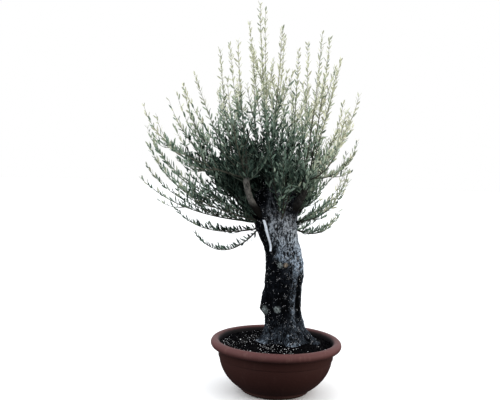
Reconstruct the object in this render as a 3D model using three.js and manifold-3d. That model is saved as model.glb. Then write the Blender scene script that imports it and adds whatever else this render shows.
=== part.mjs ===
// Potted olive bonsai: a stout old trunk in a round bowl pot, cut back to short boughs
// that each carry a fan of long leafy shoots.
// Millimetres, +Z up. The origin is the middle of the pot's flat underside, and -Y is the front.
import * as THREE from "three";
import { mergeVertices } from "three/addons/utils/BufferGeometryUtils.js";
import Module from "manifold-3d";

const wasm = await Module();
wasm.setup();

// Driving dimensions of the pot and its soil
const RIM_RADIUS = 300;
const RIM_ROLL = 20;
const ROLL_FROM = -0.7 * Math.PI;
const ROLL_TO = 0.95 * Math.PI;
const POT_HEIGHT = 242;
const BOWL_RADIUS = 260;
const BOWL_DEPTH = 198;
const BOWL_SHOULDER = 173;
const FOOT_RADIUS = 160;
const FOOT_ROUND = 32;
const FOOT_HEIGHT = 16;
const FOOT_STEPS = 3;
const POT_WALL = 6;
const POT_SIDES = 36;
const BOWL_STEPS = 5;
const ROLL_STEPS = 7;
const SOIL_EDGE = 218;
const GROUND = 235;
const MOUND_RADIUS = 165;

// Driving dimensions of the trunk: how far it leans to the right, and its radius, at a few heights
const TRUNK_STATIONS = [
  { height: GROUND, lean: 56, radius: 112 },
  { height: 275, lean: 45, radius: 96 },
  { height: 330, lean: 33, radius: 82 },
  { height: 430, lean: 21, radius: 84 },
  { height: 550, lean: 28, radius: 84 },
  { height: 655, lean: 17, radius: 80 },
  { height: 745, lean: -13, radius: 93 },
  { height: 860, lean: -16, radius: 103 },
  { height: 915, lean: -19, radius: 86 },
  { height: 935, lean: -21, radius: 44 },
];
const TRUNK_SIDES = 22;
const TRUNK_RINGS = 20;
const FLUTES = 5;
const FLUTE_DEPTH = 0.035;
const ROOT_FLUTE_DEPTH = 0.13;
const ROOT_FLUTE_HEIGHT = 55;
const FLUTE_PITCH = 260;
// Burls: where they swell out of the trunk, how far, and how fast they fade around, above and below
const BURLS = [
  { azimuth: 186, height: 382, swell: 20, around: 0.42, above: 55, below: 20 },
  { azimuth: 250, height: 392, swell: 9, around: 0.22, above: 22, below: 14 },
  { azimuth: 263, height: 588, swell: 7, around: 0.17, above: 15, below: 13 },
];

// Driving dimensions of the boughs: the azimuth at which each leaves the trunk's head, 0 to the right and 90
// to the back, the heights of its base and top, how far out its top reaches, and its radius at both ends
const HEAD_LEAN = -17;
const HEAD_RADIUS = 103;
const BOUGHS = [
  { side: "right", azimuth: 18, base: 838, reach: 165, top: 985, baseRadius: 25, topRadius: 16 },
  { side: "back_right", azimuth: 64, base: 842, reach: 165, top: 990, baseRadius: 24, topRadius: 16 },
  { side: "back_left", azimuth: 125, base: 838, reach: 175, top: 985, baseRadius: 25, topRadius: 16 },
  { side: "left", azimuth: 172, base: 826, reach: 205, top: 962, baseRadius: 27, topRadius: 16 },
  { side: "front_left", azimuth: 218, base: 822, reach: 181, top: 984, baseRadius: 16, topRadius: 12.5 },
  { side: "front_right", azimuth: 320, base: 846, reach: 160, top: 985, baseRadius: 23, topRadius: 15 },
];
const CENTRE_BOUGH = { lean: -52, depth: 12, base: 900, top: 1045, baseRadius: 30, topRadius: 17 };
// A bough starts inside the head, a little below its root, and bends most at a share of its reach and rise
const BOUGH_START = { reach: 0.6 * HEAD_RADIUS, drop: 20 };
const BOUGH_BEND = { reach: 0.95, rise: 0.18 };
const CENTRE_BEND = { lean: 0.4, rise: 0.5 };
const BOUGH_SIDES = 8;
const BOUGH_RINGS = 6;

// Where the leaves of a tier's leading shoots end: their reach from the trunk's head and their height, to the
// right, to the left and in depth. Sag lowers the middle of a shoot, bow carries it outwards, twist turns it
// around the trunk, turn is how far its tip turns up, and fullness is the length of its side shoots as a share of
// its own.
const TIERS = {
  spire: { right: [242, 1662], left: [288, 1580], depth: [190, 1600], fullness: 0.6 },
  upper: { right: [388, 1350], left: [450, 1400], depth: [340, 1410], sag: 40, bow: 25, twist: 14, fullness: 0.6 },
  outer: { right: [374, 1175], left: [695, 1300], depth: [430, 1190], sag: 80, bow: 55, twist: -14, fullness: 0.55 },
  middle: { right: [350, 1080], left: [650, 1110], depth: [420, 1090], sag: 85, bow: 75, turn: 0.4, fullness: 0.45 },
  low: { right: [335, 985], left: [640, 965], depth: [400, 985], sag: 75, bow: 45, turn: 0.15, fullness: 0.45 },
  droop: { right: [295, 822], left: [500, 822], depth: [340, 810], sag: 85, turn: 0.3, fullness: 0.3 },
  hang: { right: [305, 722], left: [395, 722], depth: [300, 722], sag: 165, turn: 0.15, fullness: 0.16 },
  crest: { right: [110, 1782], left: [106, 1782], depth: [130, 1655], fullness: 0.6 },
  front: { right: [160, 1280], left: [160, 1280], depth: [160, 1280], bow: 40, fullness: 0.6 },
};
const TIP_TURN = 0.58;
const ELBOW_SHARE = 2 / 3;
const BOUGH_TIERS = ["spire", "upper", "outer"];
const CREST_AZIMUTHS = { top: 180, top_front: 268, top_back: 82 };
// Shoots that spring straight from the trunk
const TRUNK_SHOOTS = [
  { tier: "low", side: "right", azimuth: 8, rootHeight: 778 },
  { tier: "low", side: "back_right", azimuth: 58, rootHeight: 785 },
  { tier: "low", side: "back_left", azimuth: 130, rootHeight: 785 },
  { tier: "low", side: "left", azimuth: 181, rootHeight: 775 },
  { tier: "middle", side: "front_left", azimuth: 203, rootHeight: 782 },
  { tier: "low", side: "front_right", azimuth: 336, rootHeight: 782 },
  { tier: "droop", side: "right", azimuth: 350, rootHeight: 750 },
  { tier: "droop", side: "back", azimuth: 96, rootHeight: 745 },
  { tier: "droop", side: "left", azimuth: 170, rootHeight: 745 },
  { tier: "hang", side: "left", azimuth: 192, rootHeight: 745 },
  { tier: "front", side: "middle", azimuth: 283, rootHeight: 790 },
];

// Growth of a leafy mass: side shoots along its leading shoot, and pairs of leaves along both
const STEM_RADIUS = 4.2;
const SHOOT_RADIUS = 2.8;
const TIP_RADIUS = 1.3;
const SEAT_SPACING = 9.5;
const SEAT_DEPTH = 7;
const SIDE_SHOOTS = 3;
const SHOOT_FROM = 0.12;
const SHOOT_TO = 0.6;
const SHOOT_SPREAD = 26;
const SHOOT_SHORTENING = 0.6;
const SHOOT_STAGGER = 0.8;
const SHOOT_BEND = { own: 0.5, leader: 0.3, up: 0.4 };
const SHORTEST_SHOOT = 0.35;
const GOLDEN_ANGLE = 137.5;
const LEAF_LENGTH = 82;
const LEAF_WIDTH = 21;
const LEAF_THICKNESS = 3;
const LEAF_ANGLE = 36;
const LEAF_ROLL = 50;
const LEAF_REACH = LEAF_LENGTH * Math.cos(THREE.MathUtils.degToRad(LEAF_ANGLE));
const LEAF_SPACING = 98;
const LEAF_SINK = 0.3;
const LEAF_BELLY = 0.55;
const FIRST_TURN = 25;
const PAIR_TURN = 90;
const LAST_PAIR = 0.985;
const LEADER_LEAVES_FROM = 0.4;
const SHOOT_LEAVES_FROM = 0.3;
const TWIG_SIDES = 3;
const TWIG_STEP = 120;

// Clearances
const JOINT_GAP = 0.35;
const SPACE_GAP = 5;
const LIMB_GAP = 5;
const SPACE_SAMPLES = 24;
const LIMB_SAMPLES = 20;
const SHOOT_CHECKS = 12;
const FIRST_CHECK = 3;
const WELD = 0.02;

// Driving dimensions of the plain plant label on the bark
const LABEL = { width: 14.5, thickness: 0.9 };
const LABEL_TOP = { azimuth: 236, height: 792 };
const LABEL_FOOT = { azimuth: 226, height: 650 };
const LABEL_BEND = 9;
const LABEL_STEPS = 8;
const LABEL_GAP = 2.2;

const radians = THREE.MathUtils.degToRad;
const { lerp } = THREE.MathUtils;
const UP = new THREE.Vector3(0, 0, 1);

// A point given by its azimuth and distance from the axis of the trunk's head, and its height
const polar = (azimuth, outward, height) =>
  new THREE.Vector3(
    HEAD_LEAN + outward * Math.cos(radians(azimuth)),
    outward * Math.sin(radians(azimuth)),
    height,
  );

// A repeatable fraction from 0 to 1 for one mass, one of its shoots and one use
function chance(mass, shoot, use) {
  const wave = Math.sin(mass * 12.9898 + shoot * 78.233 + use * 37.719) * 43758.5453;
  return wave - Math.floor(wave);
}

// A factor within a fifth of one
const vary = (mass, shoot, use) => 0.8 + 0.4 * chance(mass, shoot, use);

// Solids and their joins
function bare(geometry) {
  geometry.deleteAttribute("normal");
  geometry.deleteAttribute("uv");
  return mergeVertices(geometry, 1e-4);
}

function solidOf(geometry) {
  const shape = bare(geometry);
  return new wasm.Manifold(
    new wasm.Mesh({
      numProp: 3,
      vertProperties: new Float32Array(shape.attributes.position.array),
      triVerts: new Uint32Array(shape.index.array),
    }),
  );
}

function geometryOf(solid) {
  const mesh = solid.getMesh();
  const geometry = new THREE.BufferGeometry();
  geometry.setAttribute("position", new THREE.BufferAttribute(mesh.vertProperties, 3));
  geometry.setIndex(new THREE.BufferAttribute(mesh.triVerts, 1));
  return geometry;
}

// The largest closed body of a solid: loose scraps and sealed hollows are left out
const largestOf = (solid) => solid.decompose().reduce((a, b) => (b.volume() > a.volume() ? b : a));

// A solid's largest body without slivers: the ends of each edge shorter than the weld are drawn together,
// except where that would pinch the surface
function wholeOf(solid) {
  const shape = geometryOf(largestOf(solid));
  const place = shape.attributes.position;
  const corners = shape.index.array;
  const pointAt = (i) => new THREE.Vector3().fromBufferAttribute(place, i);
  let faces = Array.from({ length: corners.length / 3 }, (_, i) => [...corners.slice(3 * i, 3 * i + 3)]);
  const around = (corner) => new Set(faces.filter((face) => face.includes(corner)).flat());
  const isShort = ([a, b]) => pointAt(a).distanceTo(pointAt(b)) < WELD;
  const isFree = ([a, b]) => around(a).intersection(around(b)).size === 4;
  for (;;) {
    const edges = faces.flatMap(([a, b, c]) => [[a, b], [b, c], [c, a]]);
    const edge = edges.filter(isShort).find(isFree);
    if (!edge) break;
    const drawn = faces.map((face) => face.map((corner) => (corner === edge[1] ? edge[0] : corner)));
    faces = drawn.filter((face) => new Set(face).size === 3);
  }
  shape.setIndex(faces.flat());
  return largestOf(solidOf(shape));
}

// A ring frame on a curve: two directions across it, taken from the world axis that it runs along least
function frameOn(curve, t) {
  const chord = curve.getPoint(1).sub(curve.getPoint(0));
  const size = chord.toArray().map(Math.abs);
  const least = size.indexOf(Math.min(...size));
  const along = curve.getTangent(t);
  const side = new THREE.Vector3().setComponent(least, 1).projectOnPlane(along).normalize();
  return { along, side, across: along.clone().cross(side) };
}

// A tapering limb: a closed cylinder whose rings are carried along a curve. Grow swells it on all sides.
function limb(curve, radiusAt, sides, rings, grow = 0) {
  const shape = bare(new THREE.CylinderGeometry(1, 1, 1, sides, rings));
  const place = shape.attributes.position;
  for (let i = 0; i < place.count; i++) {
    const t = place.getY(i) + 0.5;
    const end = t < 1e-6 ? -grow : t > 1 - 1e-6 ? grow : 0;
    const { along, side, across } = frameOn(curve, t);
    const radius = radiusAt(t) + grow;
    const point = curve
      .getPoint(t)
      .addScaledVector(along, end)
      .addScaledVector(side, radius * place.getX(i))
      .addScaledVector(across, -radius * place.getZ(i));
    place.setXYZ(i, point.x, point.y, point.z);
  }
  return shape;
}

// Pot: a bowl with a rolled rim and a low foot, turned from one closed outline
function bowlRadius(height, inset) {
  const fall = Math.max(0, BOWL_SHOULDER - height) / (BOWL_DEPTH - inset);
  return (BOWL_RADIUS - inset) * Math.sqrt(1 - fall * fall);
}

function bowlOutline(from, to, inset, steps) {
  const rise = (i) => Math.sin((i / steps) * (Math.PI / 2));
  const heights = Array.from({ length: steps + 1 }, (_, i) => lerp(from, to, rise(i)));
  return heights.map((height) => new THREE.Vector2(bowlRadius(height, inset), height));
}

function potGeometry() {
  const rollRadius = RIM_RADIUS - RIM_ROLL;
  const rollHeight = POT_HEIGHT - RIM_ROLL;
  const roll = new THREE.EllipseCurve(rollRadius, rollHeight, RIM_ROLL, RIM_ROLL, ROLL_FROM, ROLL_TO);
  const footRadius = FOOT_RADIUS - FOOT_ROUND;
  const foot = new THREE.EllipseCurve(footRadius, FOOT_HEIGHT, FOOT_ROUND, FOOT_HEIGHT, -Math.PI / 2, 0);
  const outer = bowlOutline(FOOT_HEIGHT, BOWL_SHOULDER, 0, BOWL_STEPS);
  const inner = bowlOutline(FOOT_HEIGHT + POT_WALL, BOWL_SHOULDER, POT_WALL, BOWL_STEPS).reverse();
  const outline = [
    new THREE.Vector2(0, 0),
    ...foot.getPoints(FOOT_STEPS),
    ...outer,
    ...roll.getPoints(ROLL_STEPS),
    ...inner,
    new THREE.Vector2(0, FOOT_HEIGHT + POT_WALL),
  ];
  return new THREE.LatheGeometry(outline, POT_SIDES).rotateX(Math.PI / 2);
}

// Soil: it fills the bowl, and rises in a low mound to the ground that the trunk stands on
function soilGeometry() {
  const inset = POT_WALL + 2 * JOINT_GAP;
  const floor = FOOT_HEIGHT + POT_WALL + JOINT_GAP;
  const outline = [
    new THREE.Vector2(0, floor),
    ...bowlOutline(floor, BOWL_SHOULDER, inset, BOWL_STEPS),
    new THREE.Vector2(BOWL_RADIUS - inset, SOIL_EDGE),
    new THREE.Vector2(MOUND_RADIUS, GROUND),
    new THREE.Vector2(0, GROUND),
  ];
  return new THREE.LatheGeometry(outline, POT_SIDES).rotateX(Math.PI / 2);
}

// Trunk: level rings that lean and swell by the stations, with burls and with flutes that deepen at the roots
const trunkProfile = new THREE.CatmullRomCurve3(
  TRUNK_STATIONS.map(({ height, lean, radius }) => new THREE.Vector3(lean, radius, height)),
  false,
  "catmullrom",
);

function trunkRelief(angle, height) {
  const depth = FLUTE_DEPTH + ROOT_FLUTE_DEPTH * Math.exp((GROUND - height) / ROOT_FLUTE_HEIGHT);
  return 1 + depth * Math.cos(FLUTES * angle + height / FLUTE_PITCH);
}

function burlSwell(angle, height) {
  return BURLS.reduce((sum, burl) => {
    const turn = angle - radians(burl.azimuth);
    const around = Math.atan2(Math.sin(turn), Math.cos(turn)) / burl.around;
    const up = (height - burl.height) / (height > burl.height ? burl.above : burl.below);
    return sum + burl.swell * Math.exp(-around * around - up * up);
  }, 0);
}

function trunkPoint(t, angle, out) {
  const { x: lean, y: radius, z: height } = trunkProfile.getPoint(t);
  const reach = radius * trunkRelief(angle, height) + burlSwell(angle, height) + out;
  return new THREE.Vector3(lean + reach * Math.cos(angle), reach * Math.sin(angle), height);
}

// The share of the trunk's profile that a height lies at
function trunkShare(height) {
  let low = 0;
  let high = 1;
  for (let i = 0; i < 30; i++) {
    const middle = (low + high) / 2;
    if (trunkProfile.getPoint(middle).z < height) low = middle;
    else high = middle;
  }
  return low;
}

function trunkGeometry(grow = 0) {
  const shape = bare(new THREE.CylinderGeometry(1, 1, 1, TRUNK_SIDES, TRUNK_RINGS));
  const place = shape.attributes.position;
  for (let i = 0; i < place.count; i++) {
    const t = place.getY(i) + 0.5;
    const angle = Math.atan2(-place.getZ(i), place.getX(i));
    const onAxis = Math.hypot(place.getX(i), place.getZ(i)) < 0.5;
    const { x: lean, z: height } = trunkProfile.getPoint(t);
    const point = onAxis ? new THREE.Vector3(lean, 0, height) : trunkPoint(t, angle, grow);
    const lift = t < 1e-6 ? JOINT_GAP - grow : t > 1 - 1e-6 ? grow : 0;
    place.setXYZ(i, point.x, point.y, point.z + lift);
  }
  return shape;
}

// Boughs: each bends up out of the trunk's head
function boughCurve({ azimuth, base, reach, top }) {
  return new THREE.QuadraticBezierCurve3(
    polar(azimuth, BOUGH_START.reach, base - BOUGH_START.drop),
    polar(azimuth, reach * BOUGH_BEND.reach, lerp(base, top, BOUGH_BEND.rise)),
    polar(azimuth, reach, top),
  );
}

function centreCurve({ lean, depth, base, top }) {
  return new THREE.QuadraticBezierCurve3(
    new THREE.Vector3(HEAD_LEAN, 0, base),
    new THREE.Vector3(
      lerp(HEAD_LEAN, lean, CENTRE_BEND.lean),
      depth / 2,
      lerp(base, top, CENTRE_BEND.rise),
    ),
    new THREE.Vector3(lean, depth, top),
  );
}

const boughs = [
  ...BOUGHS.map((bough) => ({ ...bough, curve: boughCurve(bough) })),
  { ...CENTRE_BOUGH, side: "centre", curve: centreCurve(CENTRE_BOUGH) },
].map((bough) => ({
  ...bough,
  name: `bough_${bough.side}`,
  radiusAt: (t) => lerp(bough.baseRadius, bough.topRadius, Math.sqrt(t)),
}));

const boughGeometry = (bough, grow = 0) => limb(bough.curve, bough.radiusAt, BOUGH_SIDES, BOUGH_RINGS, grow);

// Leading shoots: one for each mass of leaves, from its seat on a bough's tip or on the trunk
function tierTip({ twist = 0, ...tier }, azimuth) {
  const turned = azimuth + twist;
  const cosine = Math.cos(radians(turned));
  const right = Math.max(0, cosine) ** 2;
  const left = Math.max(0, -cosine) ** 2;
  const depth = 1 - right - left;
  const mixed = [0, 1].map((i) => tier.right[i] * right + tier.left[i] * left + tier.depth[i] * depth);
  return polar(turned, ...mixed);
}

function leaderCurve(root, reach, { sag = 0, bow = 0, turn = TIP_TURN }) {
  const tip = reach.clone().sub(root).setLength(reach.distanceTo(root) - LEAF_REACH).add(root);
  const outward = tip.clone().sub(root).setZ(0).normalize();
  const elbow = root.clone().lerp(tip, 0.5).addScaledVector(outward, bow).addScaledVector(UP, -sag);
  const last = tip.clone().sub(elbow).normalize().lerp(UP, turn).normalize();
  const lastBend = tip.clone().addScaledVector(last, -ELBOW_SHARE * tip.distanceTo(elbow));
  return new THREE.CubicBezierCurve3(root, root.clone().lerp(elbow, ELBOW_SHARE), lastBend, tip);
}

// The seats on a side bough's tip lie in a row, the most upright shoot on top
function rowSeat(bough, row) {
  const along = bough.curve.getTangent(1);
  const rise = UP.clone().projectOnPlane(along).normalize();
  return bough.curve
    .getPoint(1)
    .addScaledVector(rise, SEAT_SPACING * (1 - row))
    .addScaledVector(along, -SEAT_DEPTH);
}

// The seats on the centre bough's tip lie in a ring, each on the side that its shoot leans to
function ringSeat(bough, azimuth) {
  const outward = new THREE.Vector3(Math.cos(radians(azimuth)), Math.sin(radians(azimuth)), 0);
  return bough.curve
    .getPoint(1)
    .addScaledVector(outward, SEAT_SPACING)
    .addScaledVector(bough.curve.getTangent(1), -SEAT_DEPTH);
}

function massOn(carrier, tierName, side, azimuth, root) {
  const tier = TIERS[tierName];
  const leader = leaderCurve(root, tierTip(tier, azimuth), tier);
  return { name: `leaves_${tierName}_${side}`, carrier, leader, fullness: tier.fullness };
}

const sideBoughs = boughs.slice(0, -1);
const centreBough = boughs.at(-1);
const masses = [
  ...sideBoughs.flatMap((bough) =>
    BOUGH_TIERS.map((tier, row) => massOn(bough.name, tier, bough.side, bough.azimuth, rowSeat(bough, row))),
  ),
  ...Object.entries(CREST_AZIMUTHS).map(([side, azimuth]) =>
    massOn(centreBough.name, "crest", side, azimuth, ringSeat(centreBough, azimuth)),
  ),
  ...TRUNK_SHOOTS.map(({ tier, side, azimuth, rootHeight }) => {
    const root = trunkPoint(trunkShare(rootHeight), radians(azimuth), -SEAT_DEPTH);
    return massOn("trunk", tier, side, azimuth, root);
  }),
];

// Each mass keeps to the space that lies nearest to its own leading shoot, clear of the trunk and the boughs
const leaderSamples = masses.map(({ leader }) => leader.getPoints(SPACE_SAMPLES));
const shares = Array.from({ length: LIMB_SAMPLES + 1 }, (_, i) => i / LIMB_SAMPLES);
const ball = (centre, radius) => ({ centre, radius });
const limbBalls = [
  ...trunkProfile.getPoints(LIMB_SAMPLES).map(({ x, y, z }) => ball(new THREE.Vector3(x, 0, z), y)),
  ...boughs.flatMap(({ curve, radiusAt }) => shares.map((t) => ball(curve.getPoint(t), radiusAt(t)))),
];
const nearest = (point, samples) => Math.min(...samples.map((sample) => sample.distanceTo(point)));

function hasRoom(point, mass) {
  const own = nearest(point, leaderSamples[mass]) + SPACE_GAP;
  return (
    leaderSamples.every((samples, other) => other === mass || nearest(point, samples) > own) &&
    limbBalls.every(({ centre, radius }) => centre.distanceTo(point) > radius + LIMB_GAP)
  );
}

// Side shoots: each leaves the leading shoot a golden angle on from the last, bends up, and stops where its
// space ends
function sideShoot(mass, shoot) {
  const { leader, fullness } = masses[mass];
  const start = lerp(SHOOT_FROM, SHOOT_TO, (shoot + SHOOT_STAGGER * chance(mass, shoot, 1)) / SIDE_SHOOTS);
  const root = onTwig(leader, start);
  const { along, side, across } = frameOn(leader, start);
  const roll = radians(GOLDEN_ANGLE * shoot + 360 * chance(mass, 0, 2));
  const spread = radians(SHOOT_SPREAD * vary(mass, shoot, 3));
  const length = leader.getLength() * fullness * (1 - SHOOT_SHORTENING * start) * vary(mass, shoot, 4);
  const away = side.multiplyScalar(Math.cos(roll)).addScaledVector(across, Math.sin(roll));
  const first = along.clone().multiplyScalar(Math.cos(spread)).addScaledVector(away, Math.sin(spread));
  const last = first
    .clone()
    .multiplyScalar(SHOOT_BEND.own)
    .addScaledVector(along, SHOOT_BEND.leader)
    .addScaledVector(UP, SHOOT_BEND.up)
    .normalize();
  const elbow = root.clone().addScaledVector(first, length / 2);
  return new THREE.QuadraticBezierCurve3(root, elbow, elbow.clone().addScaledVector(last, length / 2));
}

// The share of a shoot that stays in its own space, and the shoot cut off there
function roomAlong(curve, mass) {
  for (let i = FIRST_CHECK; i <= SHOOT_CHECKS; i++) {
    if (!hasRoom(curve.getPoint(i / SHOOT_CHECKS), mass)) return (i - 1) / SHOOT_CHECKS;
  }
  return 1;
}

function cutShort(curve, share) {
  const elbow = curve.v0.clone().lerp(curve.v1, share);
  return new THREE.QuadraticBezierCurve3(curve.v0, elbow, curve.getPoint(share));
}

// Twigs run in straight steps along their curves
const stepsOf = (curve) => Math.max(2, Math.round(curve.getLength() / TWIG_STEP));

function onTwig(curve, t) {
  const steps = stepsOf(curve);
  const step = Math.min(Math.floor(t * steps), steps - 1);
  return curve.getPoint(step / steps).lerp(curve.getPoint((step + 1) / steps), t * steps - step);
}

const twig = (curve, rootRadius) =>
  limb(curve, (t) => lerp(rootRadius, TIP_RADIUS, t), TWIG_SIDES, stepsOf(curve));

// A leaf: a slim blade with a flat upper face and a keel below, its root sunk in the shoot
const UNIT_BLADE = { length: 2, width: Math.sqrt(3), depth: 1.5 };
function leafBlade(root, direction, width) {
  const upper = direction.clone().cross(width);
  const blade = new THREE.SphereGeometry(1, 3, 2);
  const place = new THREE.Matrix4().makeBasis(
    upper.multiplyScalar(LEAF_THICKNESS / UNIT_BLADE.depth),
    direction.clone().multiplyScalar(LEAF_LENGTH / UNIT_BLADE.length),
    width.clone().multiplyScalar(LEAF_WIDTH / UNIT_BLADE.width),
  );
  place.setPosition(root.clone().addScaledVector(direction, LEAF_LENGTH / 2));
  return blade.applyMatrix4(place);
}

// Opposite pairs of leaves, each pair a quarter turn from the last; a leaf with no room is skipped
function leavesOn(curve, mass, from) {
  const length = curve.getLength() * (1 - from);
  const pairs = Math.max(1, Math.round(length / LEAF_SPACING));
  const blades = [];
  for (let pair = 0; pair < pairs; pair++) {
    const t = lerp(from, LAST_PAIR, pairs === 1 ? 1 : pair / (pairs - 1));
    const { along, side, across } = frameOn(curve, t);
    const turn = radians(PAIR_TURN * pair + FIRST_TURN);
    for (const way of [1, -1]) {
      const lean = radians(way * LEAF_ANGLE);
      const away = side.clone().multiplyScalar(Math.cos(turn)).addScaledVector(across, Math.sin(turn));
      const direction = along.clone().multiplyScalar(Math.cos(lean)).addScaledVector(away, Math.sin(lean));
      const flat = along.clone().cross(away).multiplyScalar(way);
      const width = flat.applyAxisAngle(direction, radians(LEAF_ROLL));
      const root = onTwig(curve, t).addScaledVector(direction, -LEAF_SINK);
      const belly = root.clone().addScaledVector(direction, LEAF_LENGTH * LEAF_BELLY);
      const tip = root.clone().addScaledVector(direction, LEAF_LENGTH);
      if (hasRoom(belly, mass) && hasRoom(tip, mass)) blades.push(leafBlade(root, direction, width));
    }
  }
  return blades;
}

// A mass of leaves: its leading shoot, its side shoots and their leaves, fused and cut clear of its carrier
function massSolid(mass, clearances) {
  const { leader, carrier } = masses[mass];
  const pieces = [twig(leader, STEM_RADIUS), ...leavesOn(leader, mass, LEADER_LEAVES_FROM)];
  for (let shoot = 0; shoot < SIDE_SHOOTS; shoot++) {
    const whole = sideShoot(mass, shoot);
    const share = roomAlong(whole, mass);
    if (share < SHORTEST_SHOOT) continue;
    const curve = cutShort(whole, share);
    pieces.push(twig(curve, SHOOT_RADIUS), ...leavesOn(curve, mass, SHOOT_LEAVES_FROM));
  }
  return wholeOf(wasm.Manifold.union(pieces.map(solidOf)).subtract(clearances[carrier]));
}

// Label: a plain thin strip that lies along the bark
function labelGeometry() {
  const strip = new THREE.BoxGeometry(1, 1, 1, 1, 1, LABEL_STEPS);
  const place = strip.attributes.position;
  const halfTurn = Math.asin(LABEL.width / 2 / HEAD_RADIUS);
  for (let i = 0; i < place.count; i++) {
    const t = place.getZ(i) + 0.5;
    const height = lerp(LABEL_FOOT.height, LABEL_TOP.height, t);
    const middle = radians(lerp(LABEL_FOOT.azimuth, LABEL_TOP.azimuth, t) + 4 * LABEL_BEND * t * (1 - t));
    const angle = middle + 2 * halfTurn * place.getX(i);
    const out = LABEL_GAP + LABEL.thickness * (0.5 - place.getY(i));
    const point = trunkPoint(trunkShare(height), angle, out);
    place.setXYZ(i, point.x, point.y, point.z);
  }
  return strip;
}

// Finishes
const finish = (color, roughness) => new THREE.MeshStandardMaterial({ color, roughness, metalness: 0 });
const finishes = {
  bark: finish("#33343a", 0.95),
  bough: finish("#5d5248", 0.9),
  leaf: finish("#7f9480", 0.6),
  pot: finish("#57383a", 0.55),
  soil: finish("#191a1d", 1),
  label: finish("#eef0f4", 0.4),
};

// The whole plant in its pot
const plant = new THREE.Group();
plant.name = "olive_bonsai";

function place(name, geometry, material) {
  const mesh = new THREE.Mesh(geometry, material);
  mesh.name = name;
  plant.add(mesh);
}

place("pot", potGeometry(), finishes.pot);
place("soil", soilGeometry(), finishes.soil);
place("trunk", trunkGeometry(), finishes.bark);

const clearances = { trunk: solidOf(trunkGeometry(JOINT_GAP)) };
for (const bough of boughs) {
  const solid = wholeOf(solidOf(boughGeometry(bough)).subtract(clearances.trunk));
  clearances[bough.name] = solidOf(boughGeometry(bough, JOINT_GAP));
  place(bough.name, geometryOf(solid), finishes.bough);
}
masses.forEach(({ name }, mass) => place(name, geometryOf(massSolid(mass, clearances)), finishes.leaf));
place("label", labelGeometry(), finishes.label);

export default plant;
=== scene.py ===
# %% [markdown]
# # A potted olive bonsai
# An old olive stands in a brown bowl pot: a stout charcoal trunk, cut back to short boughs, and long
# whippy shoots with small grey-green leaves. The fixed model that we load already has the right sizes and
# places. It could be shown as it is, but it has few and large leaves and no bark. So we keep its frame,
# and grow finer pieces over it, in metres, with +Z up, the origin under the pot and the front towards -Y.

import math

import bmesh
import bpy
import numpy as np
from mathutils import Matrix, Vector, noise


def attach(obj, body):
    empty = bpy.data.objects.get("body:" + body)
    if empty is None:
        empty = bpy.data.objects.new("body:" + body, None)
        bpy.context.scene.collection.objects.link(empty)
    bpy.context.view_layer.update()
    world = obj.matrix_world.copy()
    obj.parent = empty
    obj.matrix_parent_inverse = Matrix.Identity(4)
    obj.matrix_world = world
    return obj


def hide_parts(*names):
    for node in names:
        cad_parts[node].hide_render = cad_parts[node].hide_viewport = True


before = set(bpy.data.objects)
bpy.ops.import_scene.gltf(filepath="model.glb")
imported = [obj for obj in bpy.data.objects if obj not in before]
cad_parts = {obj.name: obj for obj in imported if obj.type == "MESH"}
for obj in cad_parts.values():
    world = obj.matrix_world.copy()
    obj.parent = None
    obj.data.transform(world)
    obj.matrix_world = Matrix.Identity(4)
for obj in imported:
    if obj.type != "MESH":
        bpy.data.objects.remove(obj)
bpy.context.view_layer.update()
MM = 0.001
print("CAD nodes:", len(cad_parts))

# %% [markdown]
# ## Camera
# The photograph was taken from about a metre above the ground and a little over three metres away, looking
# slightly down, and it hangs a little lower on its right. We could turn the camera by eye, but a built-up
# matrix says exactly what it does: place, then pitch, then roll.

# %% Set up the camera
PHOTO_WIDTH = 500
FOCAL_PIXELS = 702
SENSOR_WIDTH = 36.0
CAMERA_PLACE = Vector((-0.1399, -3.2, 1.02))
PITCH_DOWN = math.radians(2.6)
ROLL = math.radians(1.8)

lens = bpy.data.cameras.new("photo_lens")
lens.sensor_fit = "HORIZONTAL"
lens.sensor_width = SENSOR_WIDTH
lens.lens = FOCAL_PIXELS / PHOTO_WIDTH * SENSOR_WIDTH
camera = bpy.data.objects.new("photo_camera", lens)
level = Matrix.Rotation(math.pi / 2 - PITCH_DOWN, 4, "X")
camera.matrix_world = Matrix.Translation(CAMERA_PLACE) @ level @ Matrix.Rotation(ROLL, 4, "Z")
bpy.context.scene.collection.objects.link(camera)
bpy.context.scene.camera = camera
print("focal length in mm:", round(lens.lens, 1))

# %% [markdown]
# ## Shader sums
# Every finish below is a sum of a few patterns. Nodes could be wired one by one, but then the sum is hard
# to read. A small class wraps one socket, so that Python's own signs add the Math nodes, and one method
# makes any other node from its type, its settings and its inputs.


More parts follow.
